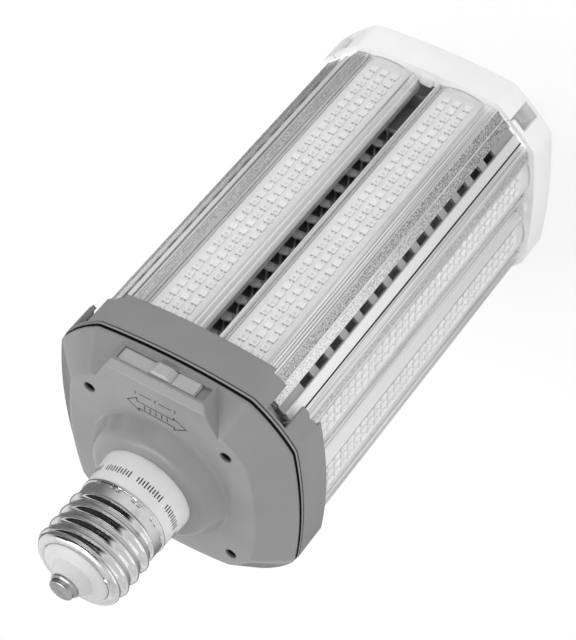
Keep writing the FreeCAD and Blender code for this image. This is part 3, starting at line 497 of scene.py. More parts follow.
@dataclass(frozen=True)
class Extruded(Finish):
    """Extruded aluminium: die lines, a blasted strip and flange, a smooth flange and a dull shelf, with
    painted shade on the shelf and in a groove and painted light on the slot walls.

    Places are in the bar's section, where u and h are measured from the lamp's axis along its two legs.
    Each pair of greys is for the cap's end and the cover's end; the rise between them is a painted
    reflection, brighter towards the cover.
    """

    turn: float
    colour: Colour = grey(0.84)
    roughness: float = 0.24
    leg_mm: float = 42.55
    strip_mm: Span = (33.9, 36.45)
    strip_pits: Span = (0.15, 0.22)
    strip_tips: Span = (0.58, 0.68)
    flange_mm: Span = (37.12, 39.9)
    flange_pits: Span = (0.12, 0.58)
    flange_tips: Span = (0.58, 0.98)
    smooth_u_mm: Span = (41.75, 45.3)
    smooth_h_mm: Span = (36.5, 40.2)
    smooth_greys: Span = (0.72, 0.86)
    groove_u_mm: Span = (45.3, 45.8)
    groove_h_mm: Span = (35.7, 36.6)
    shelf_mm: float = 38.5
    shelf_sum_mm: float = 81.2
    slot_mm: float = 5.9
    rail_face_mm: float = 48.2
    rail_mm: Span = (29.3, 33.3)
    painted_sheen_mm: Span = (30.0, 170.0)

    def skin(self, sheet: NodeSheet, place: bpy.types.NodeSocket) -> Sockets:
        """See Finish.skin."""
        turned = sheet.place(self.turn)
        u, h, z = sheet.split(turned)
        outer = h > self.leg_mm * MM
        strip = u.within(self.strip_mm) * outer
        flange = u.within(self.flange_mm) * outer
        smooth = u.within(self.smooth_u_mm) * h.within(self.smooth_h_mm)
        # painted shade: the groove is near black
        groove = u.within(self.groove_u_mm) * h.within(self.groove_h_mm)
        # painted shade: the shelf is a darker grey
        shelf = (u + h < self.shelf_sum_mm * MM) * (u.smaller(h) > self.shelf_mm * MM)
        # painted light: the slot walls are a paler grey
        slot = u.smaller(h) < self.slot_mm * MM
        rail = (u > self.rail_face_mm * MM) * h.within(self.rail_mm)
        grain = sheet.noise(turned, 0.62, 2.0, 0.7)
        lines = sheet.noise(sheet.place(self.turn, (1.0, 1.0, 0.006)), 0.45, 2.0, 0.6)
        broad = sheet.noise(sheet.place(self.turn, (1.0, 1.0, 0.02)), 3.0, 2.0)
        # painted reflection: the greys grow brighter from the cap's end to the cover's end
        along = z.ease(self.painted_sheen_mm[0] * MM, self.painted_sheen_mm[1] * MM)
        speck = grain.ease(0.38, 0.62)
        colour = sheet.blend((lines * 0.8 + broad * 0.2).ease(0.36, 0.60),
                             shade(self.colour, 0.68), shade(self.colour, 1.14))
        greys = (self.strip_pits, self.strip_tips, self.flange_pits, self.flange_tips, self.smooth_greys)
        paints = [sheet.blend(along, grey(first), grey(last)) for first, last in greys]
        zones = ((slot, grey(0.93)), (rail, sheet.blend(speck, grey(0.38), grey(0.74))),
                 (strip, sheet.blend(speck, *paints[0:2])), (flange, sheet.blend(speck, *paints[2:4])),
                 (smooth, paints[4]), (shelf, grey(0.40)), (groove, grey(0.03)))
        for zone, paint in zones:
            colour = sheet.blend(zone, colour, paint)
        blasted = strip + flange
        dull = blasted + smooth + shelf + groove
        return {
            "Base Color": colour,
            "Metallic": 0.86 - dull * 0.56 - (slot + rail) * 0.3,
            "Roughness": dull * 0.30 + lines * 0.10 + (self.roughness - 0.05),
            "Normal": sheet.bump(blasted * grain + (1.0 - blasted) * lines, 0.04, 0.7),
        }


@dataclass(frozen=True)
class CoreSheet(Finish):
    """Dark coated sheet of the core, with the tabs that lean out of it painted pale for the light that falls
    on them through the slots.
    """

    half_mm: float = 31.0
    dark: Colour = grey(0.26)
    # painted light: the tabs are pale for the light that falls on them
    pale: Colour = grey(0.92)

    def skin(self, sheet: NodeSheet, place: bpy.types.NodeSocket) -> Sockets:
        """See Finish.skin."""
        x, y, _ = sheet.split(place)
        # painted light on the tabs that lean out
        lit_tab = abs(x).larger(abs(y)) > (self.half_mm + 0.2) * MM
        patch = sheet.noise(place, 5.0, 3.0)
        fine = sheet.noise(place, 0.6, 3.0, 0.7)
        coat = sheet.blend(patch.ease(0.35, 0.65), self.dark, shade(self.dark, 2.4))
        return {
            "Base Color": sheet.blend(lit_tab, coat, sheet.mottle(fine, self.pale, 0.75)),
            "Metallic": (1.0 - lit_tab) * 0.3,
            "Roughness": patch * 0.2 + fine * 0.1 + 0.32,
            "Normal": sheet.bump(fine, 0.02, 0.5),
        }


@dataclass(frozen=True)
class Mask(Finish):
    """White solder mask over faint copper fields, with a hairline gap after every second row of chips."""

    colour: Colour = grey(0.84)
    field_mm: float = 10.08
    first_gap_mm: float = 17.48
    gap_mm: float = 0.35

    def skin(self, sheet: NodeSheet, place: bpy.types.NodeSocket) -> Sockets:
        """See Finish.skin."""
        cloud = sheet.noise(place, 9.0, 3.0)
        fine = sheet.noise(place, 0.5, 2.0)
        z = sheet.split(place)[2]
        gap = ((z - self.first_gap_mm * MM) % (self.field_mm * MM)).ease(0.0, self.gap_mm * MM, 1.0, 0.0)
        return {
            "Base Color": sheet.blend(gap * 0.18, sheet.mottle(cloud, self.colour, 0.95), grey(0.5)),
            "Roughness": cloud * 0.1 + fine * 0.08 + 0.32,
            "Normal": sheet.bump(fine * 0.5 + (1.0 - gap) * 0.5, 0.02, 0.5),
        }


@dataclass(frozen=True)
class Phosphor(Finish):
    """Face of an LED chip under its silicone."""

    colour: Colour

    def skin(self, sheet: NodeSheet, place: bpy.types.NodeSocket) -> Sockets:
        """See Finish.skin."""
        fine = sheet.noise(place, 0.35, 3.0, 0.6)
        cloud = sheet.noise(place, 14.0, 2.0)
        return {
            "Base Color": sheet.mottle(fine, self.colour, 0.92, 1.05),
            "Roughness": cloud * 0.1 + 0.22,
            "Normal": sheet.bump(fine, 0.01, 0.5),
            "Coat Weight": 0.3,
        }


@dataclass(frozen=True)
class ClearStrip(Finish):
    """Clear extruded lens: a see-through body with a gloss, faint draw lines and a little haze."""

    haze: float = 0.10

    def skin(self, sheet: NodeSheet, place: bpy.types.NodeSocket) -> Sockets:
        """See Finish.skin."""
        lines = sheet.noise(sheet.place(0.0, (1.0, 1.0, 0.004)), 0.35, 2.0, 0.6)
        cloud = sheet.noise(sheet.place(0.0, (1.0, 1.0, 0.3)), 8.0, 2.0)
        rim = Signal(sheet, sheet.add("ShaderNodeLayerWeight", None, {"Blend": 0.25}).outputs["Facing"])
        return {
            "Base Color": sheet.blend(cloud.ease(0.3, 0.7), grey(0.90), grey(0.97)),
            "Alpha": lines * 0.10 + rim * 0.35 + (self.haze - 0.05),
            "Roughness": lines * 0.10 + 0.05,
            "IOR": 1.45,
            "Normal": sheet.bump(lines, 0.012, 0.4),
        }


@dataclass(frozen=True)
class Metal(Finish):
    """Plain small metal parts."""

    colour: Colour
    roughness: float = 0.3
    grain_mm: float = 0.4

    def skin(self, sheet: NodeSheet, place: bpy.types.NodeSocket) -> Sockets:
        """See Finish.skin."""
        fine = sheet.noise(place, self.grain_mm, 4.0, 0.65)
        cloud = sheet.noise(place, 3.0, 3.0)
        return {
            "Base Color": sheet.blend(cloud.ease(0.35, 0.7), self.colour, shade(self.colour, 0.7)),
            "Metallic": 1.0,
            "Roughness": fine * 0.16 + cloud * 0.08 + (self.roughness - 0.1),
            "Normal": sheet.bump(fine, 0.02, 0.6),
        }


@dataclass(frozen=True)
class Board(Finish):
    """Green circuit board with copper fields under the mask."""

    colour: Colour = (0.03, 0.16, 0.07)

    def skin(self, sheet: NodeSheet, place: bpy.types.NodeSocket) -> Sockets:
        """See Finish.skin."""
        sockets = {"Vector": place, "Scale": 160.0}
        cells = sheet.add("ShaderNodeTexVoronoi", {"distance": "CHEBYCHEV"}, sockets)
        track = Signal(sheet, cells.outputs["Distance"]).ease(0.35, 0.42)
        return {
            "Base Color": sheet.blend(track, self.colour, shade(self.colour, 1.8)),
            "Roughness": track * 0.08 + 0.3,
            "Normal": sheet.bump(track, 0.03, 0.6),
        }


@dataclass(frozen=True)
class Winding(Finish):
    """Enamelled wire or a taped winding, in close turns."""

    colour: Colour
    pitch_mm: float = 0.8

    def skin(self, sheet: NodeSheet, place: bpy.types.NodeSocket) -> Sockets:
        """See Finish.skin."""
        z = sheet.split(place)[2]
        pitch = self.pitch_mm * MM
        ridge = 1.0 - abs(z % pitch / pitch * 2.0 - 1.0)
        return {
            # painted shade: darker between the turns
            "Base Color": sheet.blend(ridge, shade(self.colour, 0.5), self.colour),
            "Roughness": sheet.noise(place, 3.0) * 0.15 + 0.25,
            "Normal": sheet.bump(ridge, 0.12, 0.8),
        }


class Body(Enum):
    """The bodies that pieces ride on."""

    LAMP = "lamp"
    SELECTOR = "selector"


@dataclass(frozen=True)
class Side:
    """One of the four sides. u runs along it and h outwards; 0 faces -Y, the others follow clockwise."""

    number: int

    def at(self, u: float, h: float, z: float) -> Vector:
        """A point of the side in the lamp's frame, in metres."""
        turn = Matrix.Rotation(math.radians(-90.0 * self.number), 3, "Z")
        return turn @ Vector((-u, -h, z))


class Piece:
    """A mesh made here, that rides on one of the lamp's bodies."""

    def __init__(self, name: str, body: Body = Body.LAMP, slot: Optional[str] = None) -> None:
        """Starts an empty piece.

        Args:
            name: its name.
            body: what it moves with.
            slot: the record's material slot; not used.
        """
        self.name = name
        self.body = body
        self.slot = slot
        self.points: list[Vector] = []
        self.faces: list[tuple[int, ...]] = []
        self.tints: list[int] = []

    def vertex(self, point: Iterable[float]) -> int:
        """Adds a point and gives its number."""
        self.points.append(Vector(point))
        return len(self.points) - 1

    def face(self, corners: Sequence[int], tint: int = 0) -> None:
        """Adds a face with the material of that number."""
        self.faces.append(tuple(corners))
        self.tints.append(tint)

    def ring(self, radius: float, z: float, count: int) -> list[int]:
        """Adds a row of points round the lamp's axis and gives their numbers."""
        return [self.vertex((radius * math.cos(a), radius * math.sin(a), z)) for a in turns(count)]

    def grid(self, rows: Sequence[Sequence[int]], tint: int = 0) -> None:
        """Skins rows of points that close on themselves.

        Args:
            rows: rows of point numbers, all as long.
            tint: the material's number.
        """
        count = len(rows[0])
        for low, high in zip(rows, rows[1:]):
            for i in range(count):
                j = (i + 1) % count
                self.face((low[i], low[j], high[j], high[i]), tint)

    def make(self, materials: Sequence[bpy.types.Material], smooth: bool = False,
             replaces: Sequence[str] = ()) -> None:
        """Ends the piece.

        Args:
            materials: its materials, in the order of the tints.
            smooth: whether faces are shaded smooth.
            replaces: the CAD nodes that it stands for.
        """
        mesh = bpy.data.meshes.new(self.name)
        mesh.from_pydata([tuple(p) for p in self.points], [], self.faces)
        for material in materials:
            mesh.materials.append(material)
        for polygon, tint in zip(mesh.polygons, self.tints):
            polygon.material_index = tint
            polygon.use_smooth = smooth
        mesh.validate()
        mesh.update()
        piece = put(self.name, mesh)
        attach(piece, self.body.value)
        if replaces:
            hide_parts(*replaces)
        log.info("%s: %d faces, rides on %s", self.name, len(self.faces), self.body.value)


def dress(nodes: Iterable[str], material: bpy.types.Material) -> None:
    """Gives CAD nodes their finish.

    Args:
        nodes: the nodes' names.
        material: the finish.
    """
    for name in nodes:
        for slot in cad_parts[name].material_slots:
            slot.material = material
        log.info("%s: %s", name, material.name)


@dataclass
class ScrewBase:
    """Rolled screw shell, insulator, contact and the white collar under them."""

    radius: float = 19.65 * MM
    pitch: float = 6.35 * MM
    depth: float = 1.8 * MM
    first_crest: float = 8.35 * MM
    thread_start: Span = (6.0 * MM, 7.9 * MM)
    thread_end: Span = (27.4 * MM, 29.0 * MM)
    smooth_radius: float = 18.7 * MM
    lip_radius: float = 19.3 * MM
    mouth_radius: float = 14.8 * MM
    inner_radius: float = 17.05 * MM
    wall: float = 0.45 * MM
    around: int = 224
    levels: int = 152
    level_step: float = 0.2 * MM
    stakes: int = 12
    stake_top: float = 5.0 * MM
    stake_level: float = 1.75 * MM
    stake_reach: float = 0.62 * MM
    stake_depth: float = 0.42 * MM
    stake_brim: float = 0.07 * MM
    solder_at: float = 15.6 * MM
    solder_turn: float = 200.0
    solder_half: Point = (1.3 * MM, 1.9 * MM, 0.75 * MM)
    marks: int = 96
    mark_group: int = 12
    mark_blanks: tuple[int, ...] = (10, 11)
    mark_half: float = 0.013
    mark_heights: Span = (3.0 * MM, 2.2 * MM)
    mark_level: float = 230.4 * MM
    collar_radii: Span = (20.0 * MM, 19.0 * MM)
    print_lift: float = 0.02 * MM
    cover_top: float = field(default_factory=lambda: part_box("front_cover")[1].z)
    bottom: float = field(default_factory=lambda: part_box("screw_shell")[0].z)
    top: float = field(default_factory=lambda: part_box("screw_shell")[1].z)

    def plain(self, z: float) -> float:
        """Radius of the shell without its thread.

        Args:
            z: height above the shell's lower edge.

        Returns:
            The radius.
        """
        lip, smooth = self.lip_radius, self.smooth_radius
        stops = [(0.0, lip), (0.7 * MM, lip), (1.1 * MM, smooth), (27.6 * MM, smooth),
                 (28.6 * MM, 18.75 * MM), (29.3 * MM, 18.5 * MM),
                 (29.9 * MM, 17.9 * MM), (30.2 * MM, 17.2 * MM)]
        for (z0, r0), (z1, r1) in zip(stops, stops[1:]):
            if z <= z1:
                return r0 + (r1 - r0) * max(0.0, z - z0) / (z1 - z0)
        return stops[-1][1]

    def thread(self, angle: float, z: float) -> float:
        """How far the thread stands out at an angle and height.

        Args:
            angle: angle round the axis.
            z: height above the shell's lower edge.

        Returns:
            The offset from the plain radius.
        """
        share = smooth_step(z, *self.thread_start) * (1.0 - smooth_step(z, *self.thread_end))
        crest = self.radius - self.smooth_radius
        wave = math.cos(2.0 * math.pi * (z - self.first_crest) / self.pitch - angle)
        return share * wave * (crest if wave > 0 else self.depth - crest)

    def stake(self, angle: float, z: float) -> float:
        """How far the punched stakes press the smooth collar in.

        Args:
            angle: angle round the axis.
            z: height above the shell's lower edge.

        Returns:
            The offset, negative inwards.
        """
        step = 2.0 * math.pi / self.stakes
        local = (angle + 0.2) % step
        dent = 0.0
        for share in (0.35, 0.62):
            along = (local - share * step) * self.smooth_radius
            off = math.hypot(along, z - self.stake_level) / self.stake_reach
            dent -= self.stake_depth * math.exp(-off ** 2)
            dent += self.stake_brim * math.exp(-((off - 1.6) / 0.4) ** 2)
        return dent

    def shell(self) -> None:
        """The shell, with its helical thread."""
        piece = Piece("rolled_shell", Body.LAMP, "nickel_plate")
        rows = []
        for z in (i * self.level_step for i in range(self.levels)):
            row = []
            for angle in turns(self.around):
                dent = self.stake(angle, z) if z < self.stake_top else 0.0
                r = self.plain(z) + self.thread(angle, z) + dent
                row.append(piece.vertex((r * math.cos(angle), r * math.sin(angle), self.bottom + z)))
            rows.append(row)
        mouth, inner, end = self.mouth_radius, self.inner_radius, self.top
        for r, z in ((16.4 * MM, end - 0.08 * MM), (15.4 * MM, end - 0.02 * MM),
                     (mouth + 0.15 * MM, end - 0.06 * MM), (mouth, end - 0.2 * MM), (mouth, end - self.wall),
                     (16.6 * MM, end - self.wall - 0.1 * MM), (inner, end - 1.6 * MM), (inner, self.bottom)):
            rows.append(piece.ring(r, z, self.around))
        piece.grid(rows + [rows[0]])
        piece.make([RolledPlate("nickel plate").make()], smooth=True, replaces=("screw_shell",))

    def solder(self) -> None:
        """Drop of solder where the shell's lead comes out at the rim."""
        piece = Piece("solder_drop", Body.LAMP, "solder")
        centre = Vector((self.solder_at, 0.0, self.top - 0.1 * MM))
        turn = Matrix.Rotation(math.radians(self.solder_turn), 3, "Z")
        wide, long, tall = self.solder_half
        around, levels = 20, 9
        rows = []
        for polar in (math.pi * i / levels for i in range(1, levels)):
            row = []
            for angle in turns(around):
                lump = 1.0 + 0.18 * math.sin(3 * angle + 1.0) * math.sin(2 * polar)
                off = math.sin(polar)
                rise = tall * math.cos(polar)
                local = Vector((wide * off * math.cos(angle), long * off * math.sin(angle), rise))
                row.append(piece.vertex(turn @ (centre + local * lump)))
            rows.append(row)
        piece.grid(rows)
        for row, rise in ((rows[0], tall), (rows[-1], -tall)):
            tip = piece.vertex(turn @ (centre + Vector((0.0, 0.0, rise))))
            for j in range(around):
                piece.face((row[j], row[(j + 1) % around], tip))
        piece.make([Metal("solder", grey(0.62), 0.28).make()], smooth=True)

    def print_ring(self) -> None:
        """Plain graduation marks printed round the collar."""
        piece = Piece("collar_marks", Body.LAMP)
        low, high = self.collar_radii
        for i, angle in enumerate(turns(self.marks)):
            if i % self.mark_group in self.mark_blanks:
                continue
            half = self.mark_heights[i % 2] / 2
            corners = []
            for across, rise in ((-1, -half), (1, -half), (1, half), (-1, half)):
                z = self.mark_level + rise
                share = (z - self.cover_top) / (self.bottom - self.cover_top)
                r = low + (high - low) * share + self.print_lift
                a = angle + across * self.mark_half
                corners.append(piece.vertex((r * math.cos(a), r * math.sin(a), z)))
            piece.face(corners)
        piece.make([Moulding("black print", grey(0.03), 0.5, shine=0.1).make()])

    def build(self) -> None:
        """All pieces of the base."""
        self.shell()
        self.solder()
        self.print_ring()
        pressed = Moulding("pressed insulator", grey(0.57), 0.32, edge_mm=0.9, grain_mm=0.8,
                           grain_depth_mm=0.01, unevenness=0.07, shine=0.2)
        dress(["base_insulator"], pressed.make())
        dress(["center_contact"], Metal("tinned contact", grey(0.42), 0.24, 1.1).make())
        dress(["base_collar"], Moulding("white collar", grey(0.75), 0.30, 0.3).make())


class ChipTint(Enum):
    """A chip's materials, by their number on the piece."""

    PACKAGE = 0
    PALE = 1
    DEEP = 2
    FEET = 3
    # feet painted dark: painted shade round the pads
    FLANK = 4


@dataclass
class LightSides:
    """Corner extrusions, LED boards with their chips, and the lenses."""

    board_middle: float = 17.5 * MM
    board_top: float = 47.6 * MM
    column: float = 5.0 * MM
    row: float = 5.04 * MM
    first_row: float = 20.0 * MM
    rows: int = 33
    chip: float = 3.06 * MM
    chip_height: float = 0.74 * MM
    bevel: float = 0.12 * MM
    window_share: float = 0.62
    window_height: float = 0.64 * MM
    foot_starts: Span = (-1.25 * MM, 0.45 * MM)
    foot_width: float = 0.8 * MM
    foot_length: float = 0.45 * MM
    foot_lift: float = 0.02 * MM
    edge_inset: float = 0.05 * MM
    # section of the raised edge: how far out along the corner's diagonal, and how far off it
    edge_mm: tuple[Span, ...] = ((57.25, 1.80), (58.15, 1.84), (58.45, 2.05), (58.45, 2.35), (57.72, 5.4),
                                 (57.2, 5.2))

    def chip_mesh(self, piece: Piece, side: Side, u: float, z: float, bright: bool) -> None:
        """One chip: a white package round a window, with two tinned feet at each end, painted dark for the
        shade round them.

        Args:
            piece: the mesh that takes it.
            side: the lamp's side.
            u, z: its middle.
            bright: whether the window is filled with pale phosphor.
        """
        half = self.chip / 2
        inner = half * self.window_share
        top = self.chip_height
        steps = ((half, 0.0), (half, top * 0.8), (half - self.bevel, top), (inner, top),
                 (inner - self.bevel, self.window_height))
        rows = []
        for reach, rise in steps:
            rows.append([piece.vertex(side.at(u + a * reach, self.board_top + rise, z + b * reach))
                         for a, b in ((-1, -1), (1, -1), (1, 1), (-1, 1))])
        piece.grid(rows[:3], ChipTint.FLANK.value)
        piece.grid(rows[2:], ChipTint.PACKAGE.value)
        piece.face(rows[-1], (ChipTint.PALE if bright else ChipTint.DEEP).value)
        level = self.board_top + self.foot_lift
        for sign in (-1, 1):
            for start in self.foot_starts:
                end, out = start + self.foot_width, half + self.foot_length
                foot = [(start, half), (end, half), (end, out), (start, out)]
                corners = [piece.vertex(side.at(u + a, level, z + sign * b)) for a, b in foot]
                piece.face(corners, ChipTint.FEET.value)

    def chips(self) -> None:
        """The chips of all eight boards."""
        finishes = {
            ChipTint.PACKAGE: Phosphor("chip package", grey(0.97)),
            ChipTint.PALE: Phosphor("pale phosphor", grey(0.90)),
            ChipTint.DEEP: Phosphor("deep phosphor", grey(0.66)),
            # painted shade: the tinned feet are dark grey
            ChipTint.FEET: Moulding("chip feet", grey(0.16), 0.4, 0.1),
            ChipTint.FLANK: Moulding("chip flank", grey(0.70), 0.4, 0.1),
        }
        materials = [finishes[tint].make() for tint in ChipTint]
        for number in range(4):
            for half, sign in enumerate((-1, 1)):
                piece = Piece(f"chips_{2 * number + half + 1}", Body.LAMP, "white_board")
                for i in range(self.rows):
                    for j in (-1, 0, 1):
                        u = sign * self.board_middle + j * self.column
                        self.chip_mesh(piece, Side(number), u, self.first_row + i * self.row, i % 4 < 2)
                piece.make(materials)

    def flange_edges(self, metals: Sequence[bpy.types.Material]) -> None:
        """The raised edge of each smooth flange, along the vents.

        Args:
            metals: the finish of each corner.
        """
        piece = Piece("flange_edges", Body.LAMP, "aluminium")
        low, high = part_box("corner_extrusion_1")
        section = [Vector((out + off, out - off, 0.0)) * MM / math.sqrt(2.0) for out, off in self.edge_mm]
        for k in range(len(metals)):
            turn = Matrix.Rotation(math.radians(180.0 - 90.0 * k), 3, "Z")
            rows = []
            for z in (low.z + self.edge_inset, high.z - self.edge_inset):
                rows.append([piece.vertex(turn @ (corner + Vector((0.0, 0.0, z)))) for corner in section])
            piece.grid(rows, tint=k)
            piece.face(rows[0][::-1], k)
            piece.face(rows[1], k)
        piece.make(metals)

    def build(self) -> None:
        """All pieces of the sides."""
        metals = []
        for k in range(4):
            metals.append(Extruded(f"extruded aluminium {k + 1}", 90.0 * k - 180.0).make())
            dress([f"corner_extrusion_{k + 1}"], metals[-1])
        self.flange_edges(metals)
        dress([f"led_board_{k}" for k in range(1, 9)], Mask("white solder mask").make())
        dress([f"lens_{k}" for k in range(1, 9)], ClearStrip("clear lens").make())
        self.chips()


@dataclass
class FourScrews:
    """Four pan-head screws with cross recesses at the corners of a square, in place of a CAD node.

    off is how far each is from the axis along X and Y, and up is 1 where the heads look up, -1 where down.
    """

    name: str
    node: str
    off: float
    head_radius: float
    up: float
    metal: Metal
    head_height: float = 2.0 * MM
    shank_radius: float = 1.5 * MM
    around: int = 32
    # head, from the recess to the underside: share of its radius, share of its height, pull of the cross
    profile: tuple[tuple[float, float, float], ...] = (
        (0.18, 0.55, 0.0), (0.60, 0.30, 0.62), (0.66, 0.04, 0.60), (0.72, 0.0, 0.1),
        (0.88, 0.10, 0.0), (1.0, 0.38, 0.0), (1.0, 0.92, 0.0), (0.97, 1.0, 0.0))

    def screw(self, piece: Piece, tip: Vector, length: float) -> None:
        """Adds one screw. Its head ends at the tip, and the shank runs the other way.

        Args:
            piece: the piece that takes it.
            tip: middle of the head's face.
            length: the screw's whole length.
        """
        radius, height = self.head_radius, self.head_height
        turned = [(radius * out, height * down, cross) for out, down, cross in self.profile]
        turned += [(self.shank_radius, height, 0.0), (self.shank_radius, length, 0.0)]
        rows = [self.crossed(piece, tip - Vector((0.0, 0.0, self.up * down)), out, cross)
                for out, down, cross in turned]
        if self.up < 0:
            rows = [row[::-1] for row in rows]
        piece.grid([row[::-1] for row in rows])
        piece.face(rows[0])
        piece.face(rows[-1][::-1])

    def crossed(self, piece: Piece, middle: Vector, radius: float, cross: float) -> list[int]:
        """A row of points round a middle.

        Args:
            piece: the piece that takes it.
            middle: its middle.
            radius: its radius.
            cross: how far it is pulled into a cross, 0 to 1.

        Returns:
            The points' numbers.
        """
        row = []
        for angle in turns(self.around):
            r = radius * (1.0 - cross * (1.0 - abs(math.cos(2.0 * angle)) ** 3))
            row.append(piece.vertex(middle + Vector((r * math.cos(angle), r * math.sin(angle), 0.0))))
        return row

    def build(self) -> None:
        """The four screws, as one piece."""
        low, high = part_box(self.node)
        tip_level = high.z if self.up > 0 else low.z
        piece = Piece(self.name, Body.LAMP, "steel")
        for a in (-1, 1):
            for b in (-1, 1):
                self.screw(piece, Vector((a * self.off, b * self.off, tip_level)), high.z - low.z)
        piece.make([self.metal.make()], replaces=(self.node,))


@dataclass
class Cover:
    """Grey front cover with its print, the ring, the skirt, clips and screws."""

    plateau: float = 211.85 * MM
    print_lift: float = 0.03 * MM
    line_mm: float = 0.5
    arrow_mm: tuple[Span, ...] = ((-13.0, 36.6), (-8.6, 40.2), (-8.4, 38.2), (8.2, 37.9), (8.2, 39.0),
                                  (13.7, 35.6), (8.1, 32.0), (8.2, 33.6), (-8.0, 34.2), (-7.7, 33.0))
    hatching_mm: tuple[float, ...] = (-5.2, -2.6, 0.0, 2.6, 5.2)
    hatching_rows_mm: Span = (34.9, 37.1)
    ticks_mm: tuple[float, ...] = (-9.0, 0.0, 9.0)
    tick_rows_mm: Span = (42.6, 43.9)
    dashes_mm: tuple[Span, ...] = ((-7.1, -1.9), (1.9, 7.1))
    dash_row_mm: float = 43.2
    well_off: float = 31.2 * MM
    screw_radius: float = 2.3 * MM

    def stroke(self, piece: Piece, path: Sequence[Span], closed: bool = False) -> None:
        """A printed line on the plateau.

        Args:
            piece: the print.
            path: points of the selector's side, as u and h in millimetres.
            closed: whether the line closes.
        """
        side = Side(0)
        level = self.plateau + self.print_lift
        points = [Vector(p) for p in path]
        pairs = list(zip(points, points[1:])) + ([(points[-1], points[0])] if closed else [])
        for a, b in pairs:
            along = (b - a).normalized() * (self.line_mm / 2)
            across = Vector((-along.y, along.x))
            corners = (a - along + across, b + along + across, b + along - across, a - along - across)
            piece.face([piece.vertex(side.at(c.x * MM, c.y * MM, level)) for c in corners])

    def legend(self) -> None:
        """Outlined double arrow and three position marks beside the selector."""
        piece = Piece("selector_legend", Body.LAMP)
        self.stroke(piece, self.arrow_mm, closed=True)
        for columns, rows in ((self.hatching_mm, self.hatching_rows_mm), (self.ticks_mm, self.tick_rows_mm)):
            for u in columns:
                self.stroke(piece, [(u, h) for h in rows])
        for dash in self.dashes_mm:
            self.stroke(piece, [(u, self.dash_row_mm) for u in dash])
        piece.make([Moulding("dark print", grey(0.05), 0.5).make()])

    def build(self) -> None:
        """All pieces of the cover."""
        dress(["front_cover"], CoverSkin("grey moulding").make())
        dress(["seam_ring"], SeamBand("seam band").make())
        skirt = Moulding("dark grey moulding", grey(0.25), 0.16, edge_mm=0.7, grain_mm=0.45,
                         grain_depth_mm=0.003, unevenness=0.03, shine=0.3)
        dress(["skirt"], skirt.make())
        dress(["front_plate"], Metal("plate", grey(0.55), 0.35).make())
        dress(["corner_clips"], Metal("clip steel", grey(0.30), 0.35).make())
        self.legend()
        zinc = Metal("zinc plate", grey(0.45), 0.35)
        FourScrews("well_screws", "cover_screws", self.well_off, self.screw_radius, 1.0, zinc).build()


@dataclass
class Selector:
    """Sliding selector with its switch and board."""

    def build(self) -> None:
        """Dresses the selector's pieces."""
        dress(["selector_slider"], Moulding("slider moulding", grey(0.40), 0.30, 0.35).make())
        dress(["selector_switch"], Moulding("black moulding", grey(0.03), 0.4).make())
        dress(["selector_board", "driver_board"], Board("green board").make())


@dataclass
class Core:
    """Inner core with the bracket, the sleeve and the driver."""

    def build(self) -> None:
        """Dresses the inner pieces."""
        dress(["heat_core"], CoreSheet("core sheet").make())
        dress(["end_bracket"], Moulding("dark bracket", grey(0.26), 0.42, 0.4).make())
        dress(["driver_sleeve"], Moulding("black film", grey(0.10), 0.35, 0.3).make())
        dress(["driver_transformer"], Winding("taped winding", (0.30, 0.24, 0.05), 1.4).make())
        dress(["driver_choke"], Winding("enamelled wire", (0.45, 0.16, 0.05), 0.7).make())
        dress(["driver_capacitors"], Moulding("capacitor sleeve", (0.02, 0.03, 0.09), 0.3).make())
        dress(["contact_lead", "shell_lead"], Moulding("lead insulation", grey(0.60), 0.45).make())


@dataclass
class EndCap:
    """White end cap and its screws."""

    screw_off: float = 27.0 * MM
    head_radius: float = 3.2 * MM

    def build(self) -> None:
        """Dresses the cap and makes its screws."""
        dress(["end_cap"], CapSkin("white moulding").make())
        plated = Metal("cap screw plate", grey(0.5), 0.35)
        FourScrews("sunk_screws", "cap_screws", self.screw_off, self.head_radius, -1.0, plated).build()


@dataclass(frozen=True)
class SoftLamp:
    """A soft square lamp: where it hangs, what it points at, its side and its power in watts."""

    name: str
    place: Point
    target: Point
    size: float
    power: float

    def hang(self) -> None:
        """Hangs the lamp."""
        data = bpy.data.lights.new(self.name, "AREA")
        data.shape = "SQUARE"
        data.size = self.size
        data.energy = self.power
        lamp = put(self.name, data)
        lamp.location = self.place
        aim = Vector(self.target) - Vector(self.place)
        lamp.rotation_euler = aim.to_track_quat("-Z", "Y").to_euler()


